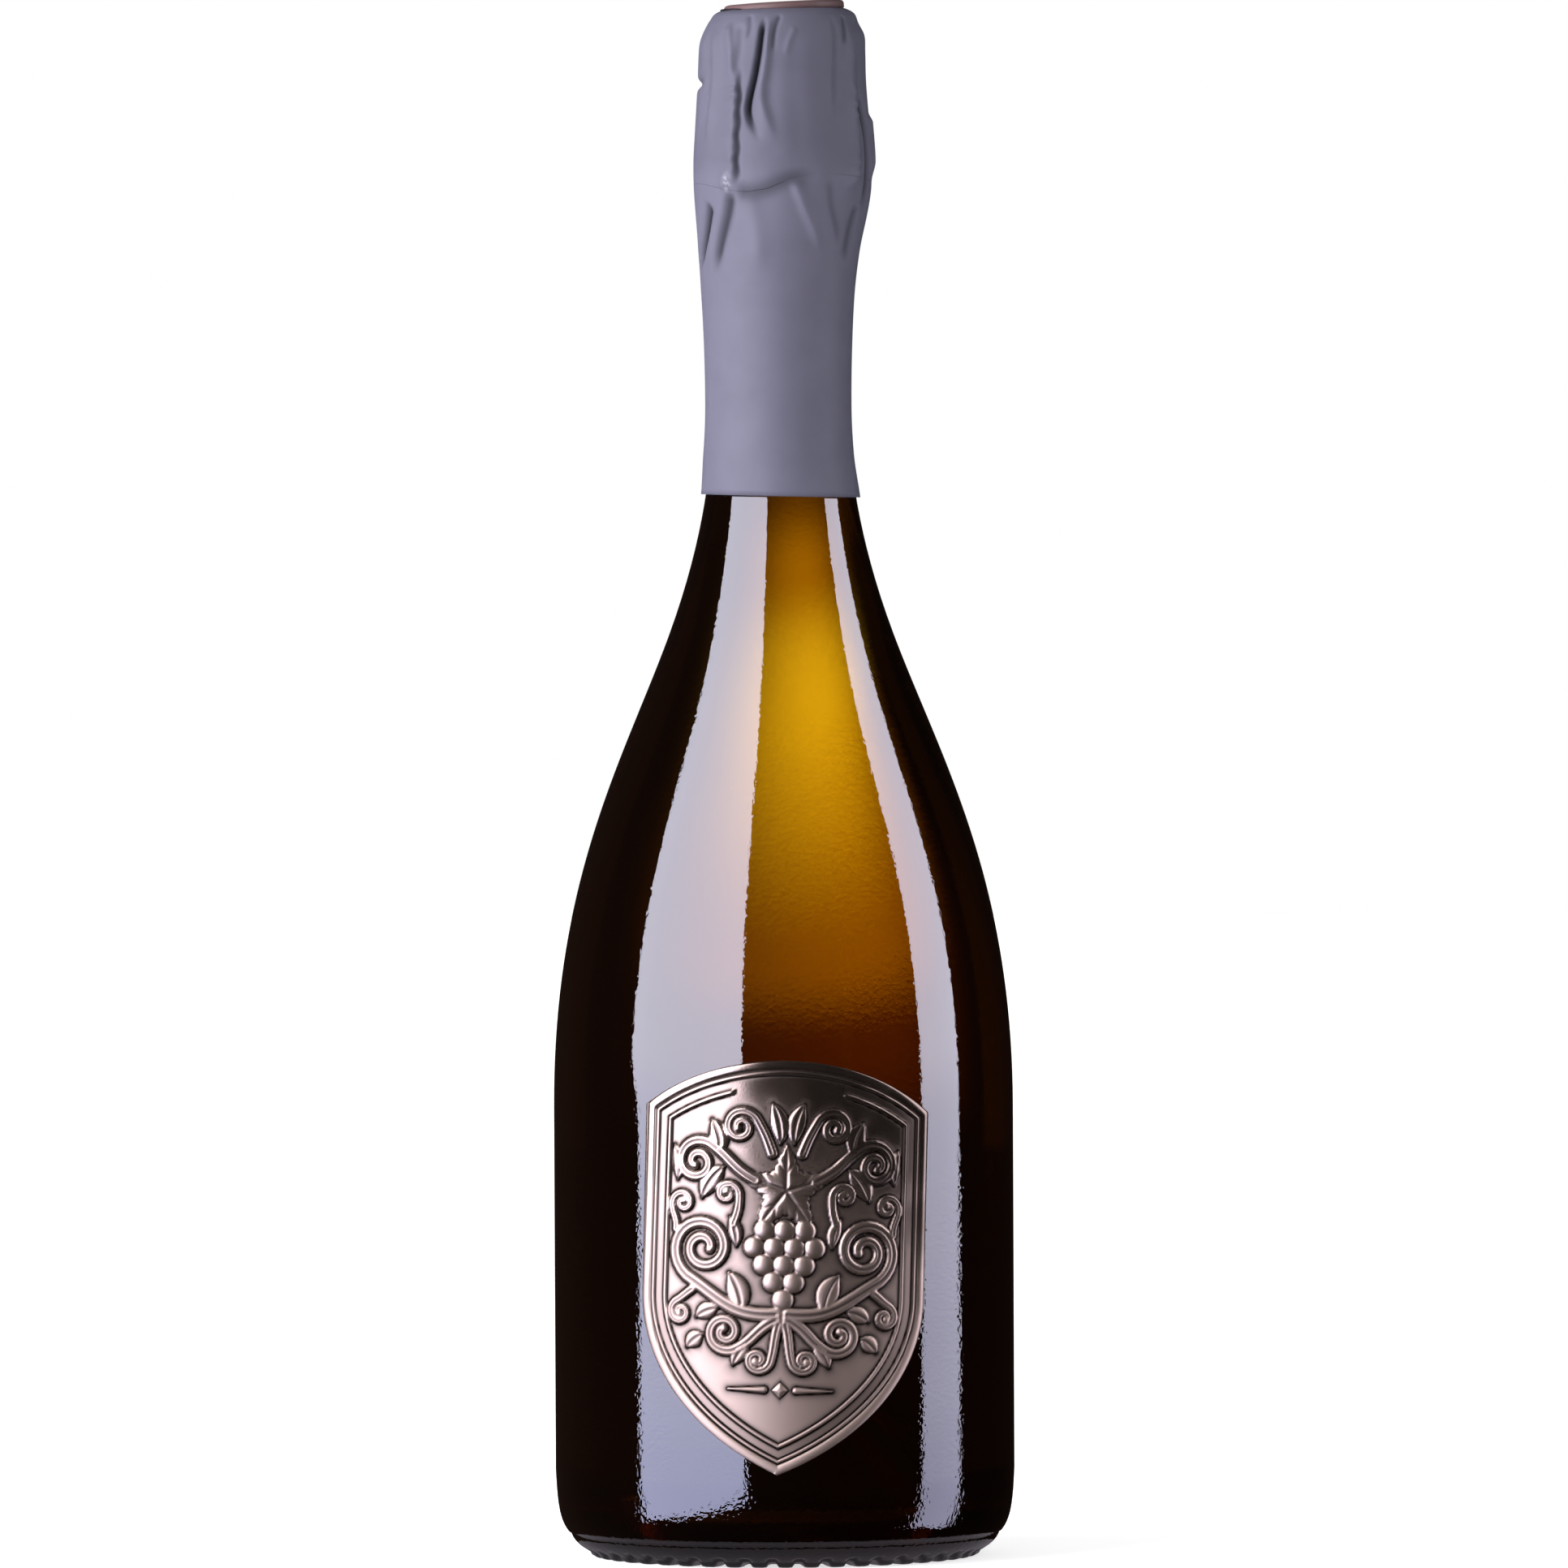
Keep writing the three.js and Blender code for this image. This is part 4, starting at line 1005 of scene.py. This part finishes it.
def foil_piece(name, heights, radii, worn_share, painted_shade_share, node, body):
    """A foil sleeve from grids by height and bearing, lined by an inner face a sheet's thickness in."""
    turns = np.radians(BEARINGS)
    tall, wide = radii.shape
    outer = np.stack([radii * np.sin(turns), -radii * np.cos(turns), heights], axis=-1)
    lining = radii - FOIL_SHEET
    inner = np.stack([lining * np.sin(turns), -lining * np.cos(turns), heights], axis=-1)
    points = np.vstack([outer.reshape(-1, 3), inner.reshape(-1, 3)])
    first = tall * wide
    faces = []
    for column in range(wide):
        after = (column + 1) % wide
        for row in range(tall - 1):
            a, b = row * wide + column, row * wide + after
            faces.append((a, b, b + wide, a + wide))
            faces.append((first + a, first + a + wide, first + b + wide, first + b))
        faces.append((column, first + column, first + after, after))
        a, b = (tall - 1) * wide + column, (tall - 1) * wide + after
        faces.append((a, b, first + b, first + a))
    mesh = bpy.data.meshes.new(name)
    mesh.from_pydata(points.tolist(), [], faces)
    outside = np.zeros(first)
    for attribute, values, lining_value in (
        # The painted_shade attribute carries the shade painted into the folds; the lining gets none.
        ("inside", outside, 1.0), ("worn", worn_share.ravel(), 0.0), ("painted_shade", painted_shade_share.ravel(), 0.0),
    ):
        layer = mesh.attributes.new(attribute, "FLOAT", "POINT")
        layer.data.foreach_set("value", np.append(values, outside + lining_value).astype(np.float32))
    mesh.polygons.foreach_set("use_smooth", [True] * len(mesh.polygons))
    mesh.materials.append(slate)
    piece = bpy.data.objects.new(name, mesh)
    bpy.context.scene.collection.objects.link(piece)
    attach(piece, body)
    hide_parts(node)


# The foil tears a little off the cut line, along the groove under the cage's belt, and dips behind, where
# the loop folds out over the skirt's edge.
sleeve = smooth_through(SLEEVE, 900)
CUT = hood_low.z / MM
TEAR = [
    (-100, 0), (-60, -0.5), (-34, -1.8), (-22, -2.1), (-8, -1.5), (6, 0.3), (26, 1.6), (48, 1.2), (75, 0.3),
    (172, 0), (180, -1.5), (186, -2.8), (193, -3.1), (200, -2.8), (206, -1.5), (214, 0), (264, 0),
]
tear = np.interp(BEARINGS, *np.array(TEAR, float).T)


def sleeve_grid(rows):
    """Bearings and heights of a stretch of foil, with the rows near the cut drawn to the tear."""
    heights = rows[:, None] + tear * np.exp(-((rows[:, None] - CUT) / 4) ** 2)
    return np.broadcast_to(BEARINGS, heights.shape), heights


# The skirt ends in a lip that tucks in under the hood's edge, and its foot hangs lower on the right.
LIP, LAP, TUCK, FOOT_DROP = 1.5, 0.25, 0.3, 0.4
PLAIN_TOP, PLAIN_ROWS, PRESSED_ROWS = 262, 37, 77
plain_rows = np.linspace(SLEEVE[0][1], PLAIN_TOP, PLAIN_ROWS)[:-1]
skirt_rows = np.concatenate([plain_rows, np.linspace(PLAIN_TOP, CUT + LIP, PRESSED_ROWS)])
bearings, heights = sleeve_grid(skirt_rows)
stand, rubbed, shaded = crumple(bearings, heights)
tuck = TUCK * ease(CUT - 0.5 * LAP, CUT + 0.5 * LAP, skirt_rows)
radii = np.interp(heights, sleeve[:, 1], sleeve[:, 0]) - tuck[:, None] + stand
drop = FOOT_DROP * np.sin(np.radians(BEARINGS)) * ease(230, 217, skirt_rows)[:, None]
foil_piece("foil_skirt_sleeve", (heights - drop) * MM, radii * MM, rubbed, shaded, "foil_skirt", "bottle")

# The hood's top slopes: it stands higher on the right.
HOOD_SLOPE, HOOD_ROWS = 1.4, 139
hood_rows = sleeve[np.searchsorted(sleeve[:, 1], CUT - LAP):]
hood_rows = hood_rows[np.linspace(0, len(hood_rows) - 1, HOOD_ROWS).astype(int)]
bearings, heights = sleeve_grid(hood_rows[:, 1])
stand, rubbed, shaded = crumple(bearings, heights)
radii = hood_rows[:, [0]] + stand * (1 - 0.4 * ease(314.4, 316.3, heights))
climb = math.tan(math.radians(HOOD_SLOPE)) * ease(306, 315, heights)
heights = heights + radii * np.sin(np.radians(bearings)) * climb
foil_piece("foil_hood_crumpled", heights * MM, radii * MM, rubbed, shaded, "foil_hood", "hood")

# The lid is stamped from brown lacquered foil, and its edge shows as a thin line on the hood.
_, top_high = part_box("foil_top_disc")
LID_TOP = top_high.z / MM + 0.2
LID_SHIFT = 1.1 * MM
LID_SLOPE = 2.8
LID_MOTTLE = 3 * MM
lid_lacquer, tree, shader = new_material("brown_lacquered_foil")
here = add_node(tree, "ShaderNodeTexCoord").outputs["Object"]
mottle = add_node(
    tree, "ShaderNodeTexNoise", {"Vector": here, "Scale": 1 / LID_MOTTLE, "Detail": 3.0},
).outputs[0]
colour = add_node(
    tree, "ShaderNodeMix", {0: mottle, 6: linear("#5c4747"), 7: linear("#6b5454")}, data_type="RGBA",
).outputs[2]
fill(tree, shader, {"Base Color": colour, "Roughness": 0.45, "Specular IOR Level": 0.28})
lid_edge = [
    at(0, 316.8), at(11.2, 316.8), at(11.9, 315.9), at(12.3, 316), at(12.25, 317), at(12, 317.4),
    at(11.5, LID_TOP), at(9, LID_TOP + 0.1), at(8.6, LID_TOP), at(0, LID_TOP),
]
lid = turned_piece("foil_lid", lid_edge, ROUND_SIDES, lid_lacquer)
for vertex in lid.data.vertices:
    vertex.co.x += LID_SHIFT
    vertex.co.z += vertex.co.x * math.tan(math.radians(LID_SLOPE))
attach(lid, "hood")
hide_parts("foil_top_disc")

# Studio
# A pale floor and a white surround, with a black tent that only reflections and refractions see, so that
# the dark glass stays dark. Two upright softboxes stand left and right, and a card glows behind the
# shoulder. The studio's sizes are in metres.
WHITE = (1, 1, 1, 1)
DISC_SIDES = 64
scene = bpy.context.scene
scene.view_settings.view_transform = "Standard"


def hide(thing, rays):
    """Hides a thing of the studio from some kinds of ray."""
    for ray in rays:
        setattr(thing, "visible_" + ray, False)


def stage_mesh(name, points, material, hidden_from, faces=None):
    """A mesh of the studio, which isn't part of the object. Without faces it is one face."""
    mesh = bpy.data.meshes.new(name)
    mesh.from_pydata(points, [], faces or [tuple(range(len(points)))])
    mesh.materials.append(material)
    thing = bpy.data.objects.new(name, mesh)
    scene.collection.objects.link(thing)
    hide(thing, hidden_from)


def level_square(half, height):
    """Corners of a level square about the bottle's axis."""
    return [(-half, -half, height), (half, -half, height), (half, half, height), (-half, half, height)]


def level_circle(radius, height):
    """Points of a level circle about the bottle's axis."""
    turns = [2 * math.pi * k / DISC_SIDES for k in range(DISC_SIDES)]
    return [(radius * math.sin(t), -radius * math.cos(t), height) for t in turns]


def upright(half, y, top):
    """Corners of a card that stands upright behind the bottle."""
    return [(-half, y, 0), (half, y, 0), (half, y, top), (-half, y, top)]


def glow(name, colour, strength=0.0):
    """Starts a light-giving material, and returns it with its tree and its light."""
    material = bpy.data.materials.new(name)
    material.use_nodes = True
    tree = material.node_tree
    tree.nodes.clear()
    light = add_node(tree, "ShaderNodeEmission", {"Color": colour, "Strength": strength})
    add_node(tree, "ShaderNodeOutputMaterial", {"Surface": light.outputs[0]})
    return material, tree, light


# The floor is paper with a painted glow that only the camera sees, weaker near the bottle and white away from
# it.
FLOOR = 4.0
NEAR_WHITENESS = 0.68
paper, tree, shader = new_material("pale_floor")
rays = add_node(tree, "ShaderNodeLightPath").outputs
here = add_node(tree, "ShaderNodeTexCoord").outputs["Object"]
from_bottle = add_node(tree, "ShaderNodeVectorMath", {0: here}, operation="LENGTH").outputs["Value"]
whiter = add_node(
    tree, "ShaderNodeMapRange", {0: from_bottle, 1: 0.06, 2: 0.45, 3: NEAR_WHITENESS, 4: 1.0},
    interpolation_type="SMOOTHSTEP",
).outputs[0]
seen = add_node(
    tree, "ShaderNodeMath", {0: rays["Is Camera Ray"], 1: whiter}, operation="MULTIPLY",
).outputs[0]
fill(tree, shader, {
    "Base Color": linear("#e8e8ea"), "Roughness": 0.9, "Emission Color": WHITE, "Emission Strength": seen,
})
stage_mesh("floor", level_square(FLOOR, 0), paper, ("glossy", "transmission"))

# The tent reaches under the floor, which reflections and refractions don't see. It is paler at the left.
TENT, TENT_FOOT, TENT_TOP = 1.7, -1.0, 2.2
felt, tree, light = glow("black_felt", (1, 0.55, 0.4, 1))
here = add_node(tree, "ShaderNodeTexCoord").outputs["Object"]
aside = add_node(tree, "ShaderNodeSeparateXYZ", {0: here}).outputs["X"]
paler = add_node(tree, "ShaderNodeMapRange", {0: aside, 1: -1.2, 2: 0.6, 3: 0.018, 4: 0.006}).outputs[0]
fill(tree, light, {"Strength": paler})
wall_points = level_circle(TENT, TENT_FOOT) + level_circle(TENT, TENT_TOP)
wall_faces = []
for k in range(DISC_SIDES):
    after = (k + 1) % DISC_SIDES
    wall_faces.append((k, after, DISC_SIDES + after, DISC_SIDES + k))
tent_hidden = ("camera", "diffuse", "shadow")
stage_mesh("tent_wall", wall_points, felt, tent_hidden, wall_faces)
stage_mesh("tent_roof", level_square(TENT, TENT_TOP), felt, tent_hidden)
stage_mesh("tent_ground", level_square(TENT, TENT_FOOT), felt, tent_hidden)

# Close round the bottle the base plate mirrors the pale floor, which the wine doesn't show.
NEAR, NEAR_DEPTH, NEAR_LIGHT = 46.5 * MM, -0.2 * MM, 0.14
mirrored, tree, light = glow("near_floor", (0.97, 0.88, 1, 1))
crossed = add_node(tree, "ShaderNodeLightPath").outputs["Transmission Depth"]
unrefracted = add_node(tree, "ShaderNodeMath", {0: crossed, 1: 0.5}, operation="LESS_THAN").outputs[0]
pale = add_node(tree, "ShaderNodeMath", {0: unrefracted, 1: NEAR_LIGHT}, operation="MULTIPLY").outputs[0]
fill(tree, light, {"Strength": pale})
panel_hidden = ("camera", "diffuse", "transmission", "shadow")
stage_mesh("near_floor", level_circle(NEAR, NEAR_DEPTH), mirrored, panel_hidden)

# Softboxes stand at one distance. Each panel's outline is given as bearings and heights.
BOX_DISTANCE = 0.8
BOX_WHITE, LAMP_WHITE = (0.86, 0.84, 1.0, 1), (0.95, 0.94, 1.0)
FADE_FOOT, FADE_TOP = -0.12, 0.18
LEFT_PANEL = [(-76, -0.32), (-19, -0.16), (-20.5, 0.2), (-20.5, 1.1), (-81, 1.1), (-80.5, 0.14), (-76, 0.06)]
RIGHT_PANEL = [(71.4, -0.45), (96.5, -0.45), (96.5, 1.1), (71.4, 1.1)]


def away_from_axis(azimuth):
    """The level direction of a bearing."""
    a = math.radians(azimuth)
    return Vector((math.sin(a), -math.cos(a), 0))


def softbox(name, azimuth, panel, radiance, lamp_azimuth, lamp_share, foot_colour):
    """A panel for reflections that fades to its foot, and a lamp for the matt surfaces."""
    middle = away_from_axis(azimuth) * BOX_DISTANCE
    across = away_from_axis(azimuth + 90)
    corners = []
    for bearing, height in panel:
        aside = BOX_DISTANCE * math.tan(math.radians(bearing - azimuth))
        corners.append(middle + across * aside + Vector((0, 0, height)))
    diffuser, tree, light = glow(name, BOX_WHITE, radiance)
    here = add_node(tree, "ShaderNodeTexCoord").outputs["Object"]
    level = add_node(tree, "ShaderNodeSeparateXYZ", {0: here}).outputs["Z"]
    rise = add_node(
        tree, "ShaderNodeMapRange", {0: level, 1: FADE_FOOT, 2: FADE_TOP, 3: 0.0, 4: 1.0},
        interpolation_type="SMOOTHSTEP",
    ).outputs[0]
    fading = add_node(tree, "ShaderNodeMix", {0: rise, 6: foot_colour, 7: BOX_WHITE}, data_type="RGBA")
    fill(tree, light, {"Color": fading.outputs[2]})
    stage_mesh(name, [tuple(c) for c in corners], diffuser, panel_hidden)
    wide = max((c - d).to_2d().length for c in corners for d in corners)
    tall = max(c.z for c in corners)
    lamp = bpy.data.lights.new(name + "_lamp", "AREA")
    lamp.shape = "RECTANGLE"
    lamp.size = wide
    lamp.size_y = tall
    lamp.color = LAMP_WHITE
    lamp.energy = radiance * lamp_share * math.pi * wide * tall
    lit = bpy.data.objects.new(name + "_lamp", lamp)
    from_axis = away_from_axis(lamp_azimuth)
    lit.location = from_axis * BOX_DISTANCE + Vector((0, 0, tall / 2))
    lit.rotation_euler = (-from_axis).to_track_quat("-Z", "Y").to_euler()
    hide(lit, ("glossy", "transmission", "camera"))
    scene.collection.objects.link(lit)


softbox("left_softbox", -50.5, LEFT_PANEL, 4.1, -62, 1.52, (0.55, 0.57, 0.84, 1))
softbox("right_softbox", 84, RIGHT_PANEL, 3.5, 66, 0.6, (0.44, 0.43, 0.6, 1))

# The card behind the bottle glows in one soft spot, which the full bottle gathers into its shoulder.
CARD_Y, CARD_HALF, CARD_TOP = 0.16, 0.07, 0.3
GLOW_X, GLOW_WIDTH, GLOW_STRENGTH = -0.0135, 0.026, 1.7
GLOW_FOOT, GLOW_TOP = 0.06, 0.26
GLOW_STOPS = [
    (0.165, (0.08, 0.022, 0, 1)), (0.205, (0.34, 0.19, 0, 1)), (0.31, (1, 0.95, 1, 1)),
    (0.53, (0.44, 0.27, 0, 1)), (0.7, (0.12, 0.06, 0, 1)),
]
card_light, tree, light = glow("glow_card", WHITE)
here = add_node(tree, "ShaderNodeTexCoord").outputs["Object"]
spot = add_node(tree, "ShaderNodeSeparateXYZ", {0: here}).outputs
sideways = add_node(tree, "ShaderNodeMath", {0: spot["X"], 1: GLOW_X}, operation="SUBTRACT").outputs[0]
sideways = add_node(tree, "ShaderNodeMath", {0: sideways, 1: GLOW_WIDTH}, operation="DIVIDE").outputs[0]
squared = add_node(tree, "ShaderNodeMath", {0: sideways, 1: sideways}, operation="MULTIPLY").outputs[0]
fall = add_node(tree, "ShaderNodeMath", {0: squared, 1: -1.0}, operation="MULTIPLY").outputs[0]
fall = add_node(tree, "ShaderNodeMath", {0: fall}, operation="EXPONENT").outputs[0]
rise = add_node(
    tree, "ShaderNodeMapRange", {0: spot["Z"], 1: GLOW_FOOT, 2: GLOW_TOP, 3: 0.0, 4: 1.0},
).outputs[0]
ramp = add_node(tree, "ShaderNodeValToRGB", {0: rise})
ramp.color_ramp.interpolation = "EASE"
stops = ramp.color_ramp.elements
stops[0].position = 0.08
stops[1].position = 1.0
for stop in stops:
    stop.color = (0, 0, 0, 1)
for position, colour in GLOW_STOPS:
    stops.new(position).color = colour
# Only light that crosses the front and back wall counts, each with its three skins, and none by way of the
# base.
WALL_SKINS = 6
crossed = add_node(tree, "ShaderNodeLightPath").outputs["Transmission Depth"]
straight = add_node(
    tree, "ShaderNodeMath", {0: crossed, 1: WALL_SKINS, 2: 0.5}, operation="COMPARE",
).outputs[0]
for share in (straight, GLOW_STRENGTH):
    fall = add_node(tree, "ShaderNodeMath", {0: fall, 1: share}, operation="MULTIPLY").outputs[0]
fill(tree, light, {"Color": ramp.outputs[0], "Strength": fall})
card_hidden = ("camera", "diffuse", "glossy", "shadow")
stage_mesh("glow_card", upright(CARD_HALF, CARD_Y, CARD_TOP), card_light, card_hidden)

# A black flag behind the body keeps the card's light out of the thick glass at the base.
FLAG_Y, FLAG_HALF, FLAG_TOP = 0.07, 0.07, 0.08
black, _, _ = glow("black_flag", (0, 0, 0, 1))
stage_mesh("black_flag", upright(FLAG_HALF, FLAG_Y, FLAG_TOP), black, card_hidden)

# The surround is white where it is seen, and gives the matt surfaces a weaker light.
AMBIENT = 0.35
world = bpy.data.worlds.new("white_surround")
scene.world = world
world.use_nodes = True
tree = world.node_tree
rays = add_node(tree, "ShaderNodeLightPath").outputs
shown = rays["Is Camera Ray"]
for kind in ("Is Glossy Ray", "Is Transmission Ray"):
    shown = add_node(tree, "ShaderNodeMath", {0: shown, 1: rays[kind]}, operation="ADD").outputs[0]
ambient = add_node(tree, "ShaderNodeMapRange", {0: shown, 1: 0.0, 2: 1.0, 3: AMBIENT, 4: 1.0}).outputs[0]
fill(tree, tree.nodes["Background"], {"Color": WHITE, "Strength": ambient})

# Camera
# A long lens at about the height of the foil's edge, which sees a little of the standing ring's round.
CAMERA_DISTANCE, CAMERA_HEIGHT = 3.35, 0.24
AIM_X, AIM_HEIGHT = 0.0004, 0.1579
ROLL = -0.26
VIEW_HEIGHT, SENSOR = 0.3208, 36
lens = bpy.data.cameras.new("long_lens")
lens.sensor_fit = "HORIZONTAL"
lens.sensor_width = SENSOR
lens.lens = SENSOR * CAMERA_DISTANCE / VIEW_HEIGHT
lens.clip_end = 20
camera = bpy.data.objects.new("camera", lens)
camera.location = (AIM_X, -CAMERA_DISTANCE, CAMERA_HEIGHT)
aim = Vector((AIM_X, 0, AIM_HEIGHT)) - camera.location
camera.rotation_euler = aim.to_track_quat("-Z", "Y").to_euler()
camera.rotation_euler.rotate_axis("Z", math.radians(ROLL))
scene.collection.objects.link(camera)
scene.camera = camera
